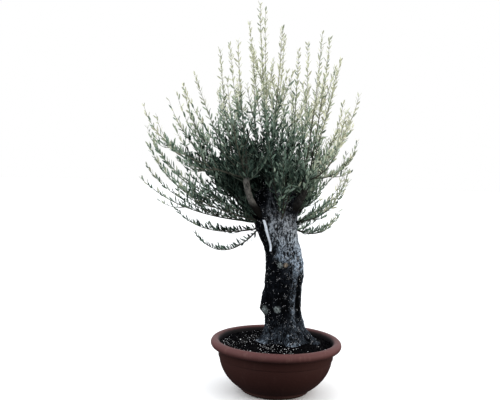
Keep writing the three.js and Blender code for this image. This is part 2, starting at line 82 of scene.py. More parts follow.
# %% A field that takes part in sums
class Field:
    """A value that changes over a surface: one output socket in a material's node tree."""

    def __init__(self, tree, socket=None):
        self.tree = tree
        self.socket = socket

    def feed(self, node, inputs):
        for name, value in inputs.items():
            if isinstance(value, Field):
                self.tree.links.new(value.socket, node.inputs[name])
            else:
                node.inputs[name].default_value = value

    def node(self, kind, settings=None, inputs=None, output=0):
        made = self.tree.nodes.new("ShaderNode" + kind)
        for name, value in (settings or {}).items():
            setattr(made, name, value)
        self.feed(made, inputs or {})
        return Field(self.tree, made.outputs[output])

    def sum(self, operation, first, second):
        return self.node("Math", {"operation": operation}, {0: first, 1: second})

    def __add__(self, other):
        return self.sum("ADD", self, other)

    __radd__ = __add__

    def __rsub__(self, other):
        return self.sum("SUBTRACT", other, self)

    def __mul__(self, other):
        return self.sum("MULTIPLY", self, other)

    __rmul__ = __mul__

    def step(self, low, high):
        """0 below low, 1 above high, and smooth between them."""
        return self.node(
            "MapRange",
            {"interpolation_type": "SMOOTHSTEP"},
            {"Value": self, "From Min": low, "From Max": high},
        )

    def blend(self, first, second):
        """The first colour where this field is 0, the second where it is 1."""
        return self.node("Mix", {"data_type": "RGBA"}, {0: self, 6: first, 7: second}, output=2)

    def place(self):
        return self.node("TexCoord", output="Object")

    def stretched(self, scale):
        """The object's coordinates, scaled apart along each axis."""
        return self.node("Mapping", {}, {"Vector": self.place(), "Scale": scale})

    def height(self):
        return self.node("SeparateXYZ", {}, {0: self.place()}, output="Z")

    def cloud(self, size, detail=4.0, vector=None, swirl=0.0):
        """Soft blotches of about the given size in metres."""
        inputs = {"Vector": vector or self.place(), "Scale": 1 / size, "Detail": detail}
        return self.node("TexNoise", {}, {**inputs, "Roughness": 0.6, "Distortion": swirl})

    def near(self, point):
        """How far the surface lies from a point."""
        inputs = {0: self.place(), 1: point}
        return self.node("VectorMath", {"operation": "DISTANCE"}, inputs, output="Value")

    def from_axis(self):
        """How far the surface lies from the upright axis through the origin."""
        inputs = {0: self.stretched((1, 1, 0))}
        return self.node("VectorMath", {"operation": "LENGTH"}, inputs, output="Value")

    def bump(self, distance, strength=1.0):
        return self.node("Bump", {}, {"Height": self, "Distance": distance, "Strength": strength})


def new_finish(name):
    material = bpy.data.materials.new(name)
    material.use_nodes = True
    return material, Field(material.node_tree)


def give(field, inputs):
    """Set or link the sockets of a finish's own shader."""
    field.feed(field.tree.nodes["Principled BSDF"], inputs)


print("shader sums are ready")

# %% [markdown]
# ## Studio
# The plant stood outside against a white sky: the light comes from all round and above, and the dark
# ground gives none back. A wide sun lamp works as one huge soft box overhead, panels on the right and the
# left pick out the edges of the trunk and the rim, and a faintly bluish sky fills the rest. The floor is a
# plain pale disc. White paper would throw light up under the pot and the leaves, so its own light is kept
# off them, and the sky is dim below the horizon. The camera sees it as plain white.


# %% Build the floor
def object_of(name, shape):
    """Turn a bmesh into an object that sits at the origin."""
    mesh = bpy.data.meshes.new(name)
    shape.to_mesh(mesh)
    shape.free()
    piece = bpy.data.objects.new(name, mesh)
    bpy.context.scene.collection.objects.link(piece)
    return piece


FLOOR_RADIUS = 40.0
FLOOR_DROP = 0.5 * MM
ROUND_STEPS = 128
PAPER = (0.86, 0.86, 0.86, 1)
BRIGHT_PAPER = (0.9, 0.9, 0.9, 1)
floor_shape = bmesh.new()
bmesh.ops.create_circle(floor_shape, cap_ends=True, segments=ROUND_STEPS, radius=FLOOR_RADIUS)
bmesh.ops.translate(floor_shape, verts=floor_shape.verts, vec=(0, 0, -FLOOR_DROP))
floor = object_of("studio_floor", floor_shape)
floor_finish, field = new_finish("pale_floor")
paper = field.cloud(0.4, 2).blend(PAPER, BRIGHT_PAPER)
give(field, {"Base Color": paper, "Roughness": 0.9, "Specular IOR Level": 0.1})
floor.data.materials.append(floor_finish)
floor.visible_diffuse = False
floor.visible_glossy = False
print("floor radius:", FLOOR_RADIUS)

# %% Set up the light
SKY_LIGHT = 0.55
GROUND_LIGHT = 0.07
SKY_TINT = (0.95, 1.0, 1.07, 1)
WHITE = (1, 1, 1, 1)
scene = bpy.context.scene
scene.view_settings.view_transform = "Standard"
world = bpy.data.worlds.new("white_surroundings")
world.use_nodes = True
scene.world = world
sky = Field(world.node_tree)
seen = sky.node("LightPath", output="Is Camera Ray")
upward = sky.node("SeparateXYZ", {}, {0: sky.node("TexCoord", output="Generated")}, output="Z")
light = GROUND_LIGHT + (SKY_LIGHT - GROUND_LIGHT) * upward.step(-0.4, 0.2)
sky_colour = seen.blend(SKY_TINT, WHITE)
strength = seen + (1 - seen) * light
sky.feed(world.node_tree.nodes["Background"], {"Color": sky_colour, "Strength": strength})


def add_light(name, kind, energy, place, target, **settings):
    data = bpy.data.lights.new(name, kind)
    data.energy = energy
    for setting, value in settings.items():
        setattr(data, setting, value)
    light = bpy.data.objects.new(name, data)
    facing = (Vector(target) - Vector(place)).to_track_quat("-Z", "Y")
    light.matrix_world = Matrix.Translation(place) @ facing.to_matrix().to_4x4()
    scene.collection.objects.link(light)


add_light("overhead", "SUN", 3.2, (0.4, 0.6, 4.5), (0, 0, 0.8), angle=math.radians(150))
add_light("right_panel", "AREA", 60, (2.5, -1.0, 0.5), (0, 0, 0.4), size=1.8, color=(1, 0.91, 0.80))
add_light("left_panel", "AREA", 42, (-2.6, -1.2, 0.9), (0, 0, 0.6), size=1.8, color=(1, 0.98, 0.95))
print("lights:", len(bpy.data.lights))

# %% [markdown]
# ## Pot
# The bowl is one turned shape of moulded plastic: a low rounded foot, a round belly, a shallow band under
# the lip and a rolled rim. It could be sculpted from a cylinder, but a turned thing is best drawn once as
# an outline and spun round the axis, which also gives the same sizes as the fixed model.

# %% Draw the pot's outline
RIM_RADIUS = 300 * MM
RIM_ROLL = 20 * MM
ROLL_FROM = -0.7 * math.pi
ROLL_TO = 0.95 * math.pi
RIM_STEPS = 18
POT_HEIGHT = 242 * MM
BOWL_RADIUS = 260 * MM
BOWL_DEPTH = 198 * MM
BOWL_SHOULDER = 173 * MM
FOOT_RADIUS = 160 * MM
FOOT_ROUND = 32 * MM
FOOT_HEIGHT = 16 * MM
FOOT_STEPS = 8
POT_WALL = 6 * MM
BAND_FOOT = 161 * MM
BAND_STEP = 3.8 * MM
EDGE = 1.2 * MM


def bowl_radius(height, inset=0.0):
    fall = max(0.0, BOWL_SHOULDER - height) / (BOWL_DEPTH - inset)
    return (BOWL_RADIUS - inset) * math.sqrt(1 - fall * fall)


def bowl_wall(low, high, inset=0.0, steps=14):
    """Points up the bowl's wall, closest where it curves most."""
    heights = [low + (high - low) * math.sin(i / steps * math.pi / 2) for i in range(steps + 1)]
    return [(bowl_radius(height, inset), height) for height in heights]


def pot_outline():
    roll = (RIM_RADIUS - RIM_ROLL, POT_HEIGHT - RIM_ROLL)
    turns = [ROLL_FROM + (ROLL_TO - ROLL_FROM) * i / RIM_STEPS for i in range(RIM_STEPS + 1)]
    rim = [(roll[0] + RIM_ROLL * math.cos(a), roll[1] + RIM_ROLL * math.sin(a)) for a in turns]
    bends = [math.pi / 2 * i / FOOT_STEPS for i in range(FOOT_STEPS + 1)]
    foot = [(FOOT_RADIUS - FOOT_ROUND * (1 - math.sin(a)), FOOT_HEIGHT * (1 - math.cos(a))) for a in bends]
    wall = bowl_wall(FOOT_HEIGHT, BAND_FOOT)
    band = wall[-1][0] + BAND_STEP
    return [
        (0, 0),
        *foot,
        *wall,
        (band - EDGE / 2, BAND_FOOT + EDGE / 2),
        (band, BAND_FOOT + 2 * EDGE),
        (band + EDGE, rim[0][1] - 4 * EDGE),
        (band + 3 * EDGE, rim[0][1] - EDGE),
        *rim,
        *reversed(bowl_wall(FOOT_HEIGHT + POT_WALL, BOWL_SHOULDER, POT_WALL)),
        (0, FOOT_HEIGHT + POT_WALL),
    ]


print("pot outline points:", len(pot_outline()))


# %% Spin the pot
def spun(outline, steps):
    """A closed body, spun from (radius, height) points that start and end on the axis."""
    shape = bmesh.new()
    corners = [shape.verts.new((radius, 0, height)) for radius, height in outline]
    edges = [shape.edges.new(pair) for pair in zip(corners, corners[1:])]
    bmesh.ops.spin(
        shape,
        geom=corners + edges,
        cent=(0, 0, 0),
        axis=(0, 0, 1),
        angle=2 * math.pi,
        steps=steps,
        use_merge=True,
    )
    bmesh.ops.remove_doubles(shape, verts=shape.verts, dist=1e-6)
    bmesh.ops.recalc_face_normals(shape, faces=shape.faces)
    for face in shape.faces:
        face.smooth = True
    return shape


def dress(piece, finish, slot, *nodes):
    """Give a piece its finish and its body, and hide the nodes that it stands for. The slot is not used."""
    piece.data.materials.append(finish)
    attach(piece, "root")
    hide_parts(*nodes)


pot_finish, field = new_finish("brown_moulded_plastic")
pot = object_of("bowl_pot", spun(pot_outline(), ROUND_STEPS))
dress(pot, pot_finish, "pot", "pot")
print("pot faces:", len(pot.data.polygons))

# %% [markdown]
# Old brown plastic bleaches on the rim and stays deep and a little satin on the belly, and the same change
# is partly painted light: the rim is lighter where the light falls from above, the belly darker as painted
# shade. Dust and dried splashes lie near the soil and run down in faint streaks, and inside the rim a black
# band is painted shade. One colour would look new, so the height mixes the two browns, the distance from the
# axis places the painted shade, and noise breaks the changes.

# %% Finish the pot
SHADED_DEEP_BROWN = (0.032, 0.0125, 0.0108, 1)
LIT_BLEACHED_BROWN = (0.091, 0.038, 0.037, 1)
DUST = (0.17, 0.105, 0.09, 1)
INNER_RIM_SHADE = (0.006, 0.005, 0.006, 1)
# Where the bleaching and the painted light of the rim set in, how far out the painted shade inside the
# rim reaches, and where it starts
BLEACH_AND_LIGHT_HEIGHTS = (BAND_FOOT + 36 * MM, POT_HEIGHT + 2 * MM)
INNER_SHADE_RADII = (RIM_RADIUS - 1.9 * RIM_ROLL, RIM_RADIUS - 1.3 * RIM_ROLL)
INNER_SHADE_HEIGHTS = (POT_HEIGHT - 1.7 * RIM_ROLL, POT_HEIGHT - 1.4 * RIM_ROLL)
blotch = field.cloud(60 * MM)
streaks = field.cloud(1.0, 3, field.stretched((70, 70, 4)))
# Lighter rim and darker belly: partly sun bleaching, partly painted light from above and painted shade
bleach_light_and_shade = (field.height() + 0.012 * blotch).step(*BLEACH_AND_LIGHT_HEIGHTS)
plastic = bleach_light_and_shade.blend(SHADED_DEEP_BROWN, LIT_BLEACHED_BROWN)
dusty = (streaks * blotch).step(0.26, 0.5) * (0.06 + 0.34 * bleach_light_and_shade)
# A black band inside the rim: painted shade
outside = (field.from_axis() + 0.004 * blotch).step(*INNER_SHADE_RADII)
inner_shade = (1 - outside) * field.height().step(*INNER_SHADE_HEIGHTS)
grain = field.cloud(1.6 * MM, 2)
give(
    field,
    {
        "Base Color": inner_shade.blend(dusty.blend(plastic, DUST), INNER_RIM_SHADE),
        "Roughness": 0.46 + 0.22 * blotch,
        "Specular IOR Level": 0.08,
        "Normal": (grain + 2 * blotch).bump(0.25 * MM, 0.5),
    },
)
print("pot finish nodes:", len(pot_finish.node_tree.nodes))

# %% [markdown]
# ## Soil
# A low mound of black potting mix fills the bowl, and white grains of perlite lie all over it, fewer of
# them on the right. A noise texture would give specks, but from a step away the grains stand up and catch
# the light. So the mound is spun and roughened by noise, and thousands of small lumps are laid on it:
# black crumbs in one joined mesh, and white grains in another.

# %% Spin the mound
GROUND = 235 * MM
SOIL_EDGE = 216 * MM
SOIL_RIM = 257 * MM
SOIL_FLOOR = 190 * MM
SOIL_TAPER = 6 * MM
MOUND_RADIUS = 165 * MM
MOUND_RINGS = 64
MOUND_STEPS = 150
HEAP_HEIGHT = 5 * MM
HEAPS_PER_METRE = 16
CRUMB_HEIGHT = 2.2 * MM
CRUMBS_PER_METRE = 70
BLACK_SOIL = (0.0004, 0.0004, 0.0006, 1)
DRY_SOIL = (0.0026, 0.0026, 0.0034, 1)


def ground_height(x, y):
    """The height of the soil, with its small heaps."""
    out = min(1.0, max(0.0, (math.hypot(x, y) - MOUND_RADIUS) / (SOIL_RIM - MOUND_RADIUS)))
    level = GROUND + (SOIL_EDGE - GROUND) * out * (0.6 + 0.4 * out)
    heaps = HEAP_HEIGHT * noise.noise(Vector((x, y, 0.3)) * HEAPS_PER_METRE)
    crumbs = CRUMB_HEIGHT * noise.noise(Vector((x, y, 1.7)) * CRUMBS_PER_METRE)
    return level + heaps + crumbs


mound_outline = [(0, SOIL_FLOOR), (SOIL_RIM - SOIL_TAPER, SOIL_FLOOR)]
mound_outline += [(SOIL_RIM * (1 - i / MOUND_RINGS), GROUND) for i in range(MOUND_RINGS + 1)]
mound_shape = spun(mound_outline, MOUND_STEPS)
for corner in mound_shape.verts:
    if corner.co.z > SOIL_FLOOR + MM:
        corner.co.z = ground_height(corner.co.x, corner.co.y)
soil_finish, field = new_finish("black_potting_mix")
mound = object_of("soil_mound", mound_shape)
dress(mound, soil_finish, "soil", "soil")
crumbs = field.cloud(7 * MM)
damp = field.cloud(70 * MM)
dry = (crumbs * damp).step(0.18, 0.42)
give(
    field,
    {
        "Base Color": dry.blend(BLACK_SOIL, DRY_SOIL),
        "Roughness": 0.72 + 0.25 * damp,
        "Specular IOR Level": 0.02,
        "Normal": crumbs.bump(4 * MM, 0.9),
    },
)
print("mound faces:", len(mound.data.polygons))


# %% Join many small shapes
def joined(name, corners, triangles, smooth=False):
    """One object from arrays of corners and of triangles."""
    mesh = bpy.data.meshes.new(name)
    mesh.vertices.add(len(corners))
    mesh.vertices.foreach_set("co", np.asarray(corners, np.float32).ravel())
    mesh.loops.add(3 * len(triangles))
    mesh.loops.foreach_set("vertex_index", np.asarray(triangles, np.int32).ravel())
    mesh.polygons.add(len(triangles))
    mesh.polygons.foreach_set("loop_start", np.arange(0, 3 * len(triangles), 3, dtype=np.int32))
    mesh.polygons.foreach_set("use_smooth", np.full(len(triangles), smooth))
    mesh.update(calc_edges=True)
    mesh.validate()
    piece = bpy.data.objects.new(name, mesh)
    bpy.context.scene.collection.objects.link(piece)
    return piece


def copies(corners, triangles, frames, places):
    """Many copies of one small shape, each turned and stretched by its own frame."""
    moved = np.einsum("vi,nij->nvj", corners, frames) + places[:, None, :]
    shifted = triangles[None] + len(corners) * np.arange(len(places))[:, None, None]
    return moved.reshape(-1, 3), shifted.reshape(-1, 3)


def lump():
    """The corners and triangles of a small round lump."""
    shape = bmesh.new()
    bmesh.ops.create_icosphere(shape, subdivisions=1, radius=1)
    corners = np.array([corner.co for corner in shape.verts])
    triangles = np.array([[corner.index for corner in face.verts] for face in shape.faces])
    shape.free()
    return corners, triangles


print("triangles in a lump:", len(lump()[1]))

# %% Lay the grains
TRUNK_FOOT = 56 * MM
CLEAR_OF_TRUNK = 100 * MM
CLEAR_OF_EDGE = 4 * MM
PATCHES_PER_METRE = 14
USUAL_SHARE = 0.6
# Where the grains begin to thin out on the right, and over what distance
THIN_FROM = 20 * MM
THIN_OVER = 110 * MM
# How far a grain's middle stands up, and how flat it can be, as shares of its size
GRAIN_LIFT = 0.25
FLATTEST = 0.55
PERLITE = ((0.5, 0.51, 0.53, 1), (0.84, 0.85, 0.86, 1))
HUMUS = (BLACK_SOIL, (0.0030, 0.0030, 0.0039, 1))


def scatter(name, count, sizes, finish, seed, thin_right):
    """Lay grains on the soil, each sunk a little, outside the trunk, with fewer on the right."""
    draw = np.random.default_rng(seed)
    reach = (SOIL_RIM - CLEAR_OF_EDGE) * np.sqrt(draw.random(count))
    turn = 2 * math.pi * draw.random(count)
    spots = np.stack([reach * np.cos(turn), reach * np.sin(turn)], 1)
    patch = np.array([noise.noise(Vector((x, y, seed)) * PATCHES_PER_METRE) for x, y in spots])
    off_trunk = np.hypot(spots[:, 0] - TRUNK_FOOT, spots[:, 1]) > CLEAR_OF_TRUNK
    # Fewer white grains towards the right
    thinned = thin_right * np.clip((spots[:, 0] - THIN_FROM) / THIN_OVER, 0, 1)
    spots = spots[off_trunk & (draw.random(count) < USUAL_SHARE + patch - thinned)]
    size = sizes[0] + (sizes[1] - sizes[0]) * draw.random(len(spots)) ** 3
    places = np.array([(x, y, ground_height(x, y)) for x, y in spots])
    places[:, 2] += GRAIN_LIFT * size
    turned, _ = np.linalg.qr(draw.normal(size=(len(spots), 3, 3)))
    frames = turned * (size[:, None] * draw.uniform(FLATTEST, 1.0, (len(spots), 3)))[:, :, None]
    frames[np.linalg.det(frames) < 0] *= -1
    grains = joined(name, *copies(*lump(), frames, places))
    dress(grains, finish, "soil", "soil")
    print(name, len(spots))


def grain_finish(name, dark, light, size):
    finish, field = new_finish(name)
    colour = field.cloud(size, 2).step(0.3, 0.7).blend(dark, light)
    give(field, {"Base Color": colour, "Roughness": 0.9, "Specular IOR Level": 0.02})
    return finish


perlite = grain_finish("white_perlite", *PERLITE, 6 * MM)
humus = grain_finish("black_humus", *HUMUS, 9 * MM)
scatter("humus_grains", 4600, (2 * MM, 7 * MM), humus, 3, 0)
scatter("perlite_grains", 2200, (0.9 * MM, 2.9 * MM), perlite, 8, 0.65)

# %% [markdown]
# ## Trunk
# The trunk leans, swells into a head where it forks, and spreads into roots. It could be sculpted by hand,
# but the fixed model already has a rule for it: level rings whose lean and radius follow a few stations,
# with flutes and burls. We write that rule again on arrays, so that all later pieces can ask where the
# bark is.

# %% The trunk's rule
TRUNK_HEIGHTS = np.array([235, 275, 330, 430, 550, 655, 745, 860, 915, 935]) * MM
TRUNK_LEANS = np.array([56, 45, 33, 21, 28, 17, -13, -16, -19, -21]) * MM
TRUNK_RADII = np.array([112, 96, 82, 84, 84, 80, 93, 103, 86, 44]) * MM
FLUTES = 5
FLUTE_DEPTH = 0.035
ROOT_FLUTE_DEPTH = 0.13
ROOT_FLUTE_HEIGHT = 55 * MM
FLUTE_PITCH = 260 * MM
# Azimuth, height and swell of each burl, and how fast it fades around, above and below
BURLS = [
    (186, 382 * MM, 20 * MM, 0.42, 55 * MM, 20 * MM),
    (250, 392 * MM, 9 * MM, 0.22, 22 * MM, 14 * MM),
    (263, 588 * MM, 7 * MM, 0.17, 15 * MM, 13 * MM),
]


def smooth_curve(points, t):
    """A smooth curve through the points, at shares t from 0 to 1."""
    padded = np.vstack([2 * points[0] - points[1], points, 2 * points[-1] - points[-2]])
    place = np.clip(np.asarray(t, float), 0, 1) * (len(points) - 1)
    first = np.minimum(place.astype(int), len(points) - 2)
    w = (place - first)[..., None]
    a, b, c, d = (padded[first + i] for i in range(4))
    slope, bend, twist = c - a, 2 * a - 5 * b + 4 * c - d, 3 * b - a - 3 * c + d
    return b + 0.5 * w * (slope + w * (bend + w * twist))


stations = np.stack([TRUNK_LEANS, TRUNK_RADII, TRUNK_HEIGHTS], 1)
fine_shares = np.linspace(0, 1, 2001)
fine_profile = smooth_curve(stations, fine_shares)


def trunk_at(height):
    """The trunk's lean and radius at a height."""
    share = np.interp(height, fine_profile[:, 2], fine_shares)
    profile = smooth_curve(stations, share)
    return profile[..., 0], profile[..., 1]


def turn_from(angle, azimuth):
    turn = angle - math.radians(azimuth)
    return np.arctan2(np.sin(turn), np.cos(turn))


def burl_swell(angle, height):
    swell = 0.0
    for azimuth, middle, size, around, above, below in BURLS:
        up = (height - middle) / np.where(height > middle, above, below)
        swell = swell + size * np.exp(-((turn_from(angle, azimuth) / around) ** 2) - up**2)
    return swell


def trunk_point(angle, height, out=0.0):
    """A point of the trunk's skin, or out of it by a distance."""
    lean, radius = trunk_at(height)
    depth = FLUTE_DEPTH + ROOT_FLUTE_DEPTH * np.exp((GROUND - height) / ROOT_FLUTE_HEIGHT)
    relief = 1 + depth * np.cos(FLUTES * angle + height / FLUTE_PITCH)
    reach = radius * relief + burl_swell(angle, height) + out
    return np.stack([lean + reach * np.cos(angle), reach * np.sin(angle), height + 0 * reach], -1)


print("trunk radius at mid height:", round(float(trunk_at(0.55)[1]), 3))

# %% [markdown]
# Old olive bark is broken into upright plates with cracks between them. Under the plates lie lumps, a deep
# fold and ridges at the front right, two roots that run out, and a callus with slanting ripples. A bump
# map alone would leave the outline smooth, so we take a finely cut rod and move its corners: Voronoi
# cells, stretched upright, give the plates, and the distance to a cell's border gives the cracks.

# %% Shape the bark
PLATE_WIDTH = 6.8 * MM
# How much the plates are stretched upright and warped, how narrow the cracks are, and the plates' share
PLATE_STRETCH = 0.38
PLATE_WARP = 0.9
CRACK_SHARPNESS = 2.2
PLATE_SHARE = 0.4
# Vectors of noise start from the clock unless they are given a seed
BARK_SEED = 7
noise.seed_set(BARK_SEED)


def bark_height(point, width):
    """The relief of the bark at a point, from about 0 in the cracks to about 1 on the plates."""
    upright = Vector((point.x, point.y, PLATE_STRETCH * point.z)) / width
    warped = upright + PLATE_WARP * noise.noise_vector(0.6 * upright)
    near = noise.voronoi(warped)[0]
    plate = min(1.0, CRACK_SHARPNESS * (near[1] - near[0]))
    rough = 0.5 + 0.5 * noise.fractal(1.3 * upright, 0.7, 2.0, 4)
    return PLATE_SHARE * plate + (1 - PLATE_SHARE) * rough


def bark(points, width):
    return np.array([bark_height(point, width) for point in points])


def rod(segments, cuts):
    """A closed unit rod from z = 0 to 1, cut into level rings."""
    shape = bmesh.new()
    lift = Matrix.Translation((0, 0, 0.5))
    bmesh.ops.create_cone(
        shape, cap_ends=True, cap_tris=True, segments=segments, radius1=1, radius2=1, depth=1, matrix=lift
    )
    upright = [edge for edge in shape.edges if abs(edge.verts[0].co.z - edge.verts[1].co.z) > 0.5]
    bmesh.ops.subdivide_edges(shape, edges=upright, cuts=cuts, use_grid_fill=True)
    for face in shape.faces:
        face.smooth = True
    return shape


def corners_of(piece):
    flat = np.empty(3 * len(piece.data.vertices), np.float32)
    piece.data.vertices.foreach_get("co", flat)
    return flat.reshape(-1, 3).astype(float)


def move_corners(piece, points):
    piece.data.vertices.foreach_set("co", points.astype(np.float32).ravel())
    piece.data.update()


def keep(piece, name, values):
    """Keep a value at each corner as an attribute that a finish can read."""
    piece.data.attributes.new(name, "FLOAT", "POINT").data.foreach_set("value", values.astype(np.float32))


print("relief at one point:", round(bark_height(Vector((0.1, 0, 0.5)), PLATE_WIDTH), 2))

# %% Model the trunk
TRUNK_SIDES = 250
TRUNK_CUTS = 340
TRUNK_SINK = 18 * MM
BARK_DEPTH = 5.4 * MM
LUMP_DEPTH = 6 * MM
LUMPS_PER_METRE = 16
# Azimuth, height and size of each fold and ridge, and how far it runs around and up
FOLDS = [
    (-38, 440 * MM, -11 * MM, 0.11, 150 * MM),
    (-8, 430 * MM, 2 * MM, 0.22, 190 * MM),
    (-56, 440 * MM, 5 * MM, 0.13, 130 * MM),
    (-14, 630 * MM, 6 * MM, 0.35, 45 * MM),
]
# Azimuth and size of each root, and how far it runs around and up
ROOTS = [(-24, 36 * MM, 0.24, 30 * MM), (195, 34 * MM, 0.40, 40 * MM)]
# The callus: its azimuth and height, how far it runs around and up, and its ripples' pitch, slant and depth
CALLUS = (-45, 577 * MM, 0.45, 34 * MM, 13 * MM, 60 * MM, 2.6 * MM)

trunk = object_of("olive_trunk", rod(TRUNK_SIDES, TRUNK_CUTS))
unit = corners_of(trunk)
angle = np.arctan2(unit[:, 1], unit[:, 0])
steps = np.linalg.norm(np.diff(fine_profile[:, 1:], axis=0), axis=1)
run = np.concatenate([[0], np.cumsum(steps)])
height = np.interp(unit[:, 2], run / run[-1], fine_profile[:, 2])
folds = 0.0
for azimuth, middle, size, around, tall in FOLDS:
    sideways = turn_from(angle, azimuth) / around
    folds = folds + size * np.exp(-(sideways**2) - ((height - middle) / tall) ** 4)
for azimuth, size, around, tall in ROOTS:
    sideways = turn_from(angle, azimuth) / around
    folds = folds + size * np.exp(-(sideways**2) - (height - GROUND) / tall)
azimuth, middle, around, tall, pitch, slant, depth = CALLUS
turned = turn_from(angle, azimuth)
callus = np.exp(-((turned / around) ** 2) - ((height - middle) / tall) ** 2)
ripple = np.sin(2 * math.pi * (height - slant * turned) / pitch)
folds = folds + depth * callus * ripple
skin = [Vector(point) for point in trunk_point(angle, height)]
lumps = np.array([noise.fractal(point * LUMPS_PER_METRE, 1.0, 2.0, 3) for point in skin])
relief = bark(skin, PLATE_WIDTH)
out = LUMP_DEPTH * lumps + BARK_DEPTH * (relief - 0.5) + folds
points = trunk_point(angle, height, out)
on_axis = np.hypot(unit[:, 0], unit[:, 1]) < 0.5
points[on_axis, 0] = trunk_at(height[on_axis])[0]
points[on_axis, 1] = 0
points[unit[:, 2] < 1e-6, 2] -= TRUNK_SINK
move_corners(trunk, points)
keep(trunk, "relief", relief)
print("trunk triangles:", sum(len(face.vertices) - 2 for face in trunk.data.polygons))

# %% [markdown]
# Sun and weather have worn the bark pale, but not evenly, and the same mask paints light and shade. It is
# paler on the side towards the light from mid height up, higher on the left than on the right, on a rib and
# on the right edge, and this is partly painted light and painted highlight, while the left stays darker as
# painted shade. The ripples of the callus and splashed patches on the roots are pale too. The head is
# darkened as painted shade of the crown, and the back has a fainter worn side of its own, which is a guess.
# A mask could be painted by hand, but a sum of a few soft steps over height and azimuth is easier to change.
# Its result is kept at each corner for the finish.

# %% Bleach the bark, with painted light and shade
# Azimuth, spread and strength of the pale rib and of the pale right edge, both partly painted highlight,
# and where both start
PALE_AND_LIT_RIBS = [(-56, 0.17, 0.36), (-8, 0.16, 0.6)]
RIB_HEIGHTS = (260 * MM, 340 * MM)
# Azimuth of each worn side, the first also painted light towards the right lamp, how far round from it
# the wear ends and is full, and its strength
WORN_AND_LIT_SIDES = [(-35, 1.62, 1.25, 1.0), (112, 0.95, 0.55, 0.7)]
WORN_HEIGHTS = (535 * MM, 610 * MM)
# How much higher the paleness starts on the left, which stays darker as painted shade
LEFT_RISE = 55 * MM
SPLASH_HEIGHTS = (270 * MM, 360 * MM)
# Strength of the painted shade of the crown on the head, and the heights between which it deepens
PAINTED_HEAD_SHADES = [(0.3, 700 * MM, 780 * MM), (0.8, 775 * MM, 840 * MM)]


def ramp(values, low, high):
    """0 below low, 1 above high, and smooth between them."""
    share = np.clip((values - low) / (high - low), 0, 1)
    return share * share * (3 - 2 * share)


sides = 0.0
for azimuth, none, full, strength in WORN_AND_LIT_SIDES:
    near_side = -np.abs(turn_from(angle, azimuth)) + 0.3 * lumps
    sides = np.maximum(sides, strength * ramp(near_side, -none, -full))
leftward = np.minimum(turn_from(angle, WORN_AND_LIT_SIDES[0][0]), 0)
bleach_light_and_shade = ramp(height + 0.05 * lumps + LEFT_RISE * leftward, *WORN_HEIGHTS) * sides
for azimuth, around, strength in PALE_AND_LIT_RIBS:
    rib = np.exp(-((turn_from(angle, azimuth) / around) ** 2)) * ramp(height, *RIB_HEIGHTS)
    bleach_light_and_shade = np.maximum(bleach_light_and_shade, strength * rib)
splashed = 1 - ramp(height + 0.04 * lumps, *SPLASH_HEIGHTS)
splashed = splashed * (0.08 + 0.55 * ramp(lumps, 0.12, 0.45))
bleach_light_and_shade = np.maximum.reduce([bleach_light_and_shade, (0.6 + 0.4 * ripple) * callus, splashed])
for strength, low, high in PAINTED_HEAD_SHADES:
    bleach_light_and_shade = bleach_light_and_shade * (1 - strength * ramp(height, low, high))
keep(trunk, "bleach_light_shade", bleach_light_and_shade)
print("mean bleach:", round(float(bleach_light_and_shade.mean()), 3))

# %% [markdown]
# The bark is charcoal, almost black in the cracks and low down. Where it is bleached, and where light is
# painted in on the right, the plates are a bluish grey, plainer higher up; on the left and on the head they
# stay dark as painted shade. Pale flecks of lichen and grit are dotted over it, the burls are worn to a cool
# grey, and a sawn-off twig left a brown scar. One noise could not place all this. So the two kept
# attributes, the relief and the bleach with its painted light and shade, place the greys, and distances
# from a few points place the scars.

# %% Finish the bark
CRACK = (0.0010, 0.0011, 0.0014, 1)
SOOT = (0.0012, 0.0014, 0.0019, 1)
DARK_GREY = (0.0048, 0.0059, 0.0082, 1)
CHARCOAL = (0.0160, 0.0185, 0.0225, 1)
BLUE_GREY = (0.355, 0.445, 0.555, 1)
WORN_GREY = (0.405, 0.455, 0.515, 1)
GRIT = (0.62, 0.64, 0.67, 1)
KNOB_GREY = (0.29, 0.34, 0.34, 1)
SAWN_WOOD = (0.25, 0.210, 0.165, 1)
PLAINER_HEIGHTS = (600 * MM, 760 * MM)
# Where each worn burl and the sawn twig are in metres, and how wide in millimetres
KNOBS = [((-0.058, -0.042, 0.380), 21), ((-0.003, -0.084, 0.391), 17), ((0.001, -0.083, 0.591), 15)]
SAWN_TWIG = ((0.031, -0.087, 0.592), 12)


def flecks(field, size, share):
    """Small flecks, scattered over a share of the surface."""
    cells = field.node(
        "TexVoronoi", {"feature": "F1"}, {"Vector": field.place(), "Scale": 1 / size}, output="Distance"
    )
    patches = field.cloud(4 * size, 2)
    return (1 - cells.step(0.2, 0.34)) * patches.step(1 - share, 1.03 - share)


def scar(field, point, width):
    """1 in a ragged patch round a point, and 0 away from it."""
    radius = width * MM
    return 1 - (field.near(point) + radius * field.cloud(9 * MM, 3)).step(radius, 1.7 * radius)


bark_finish, field = new_finish("charcoal_bark")
dress(trunk, bark_finish, "bark", "trunk")
kept = field.node("Attribute", {"attribute_name": "relief"}, output="Fac")
bleach_light_shade = field.node("Attribute", {"attribute_name": "bleach_light_shade"}, output="Fac")
speckle = field.cloud(3.9 * MM, 5, field.stretched((1, 1, 0.42)), 2.2)
fine = field.cloud(3.5 * MM, 5)
patchy = field.cloud(34 * MM, 2, field.stretched((1, 1, 0.4)))
worn = (0.62 * speckle + 0.36 * kept + 0.42 * patchy).step(0.645, 0.775)
low_bark = worn.blend(SOOT, DARK_GREY)
worn_grey = field.height().step(*PLAINER_HEIGHTS).blend(BLUE_GREY, WORN_GREY)
high_bark = worn.blend(CHARCOAL, worn_grey)
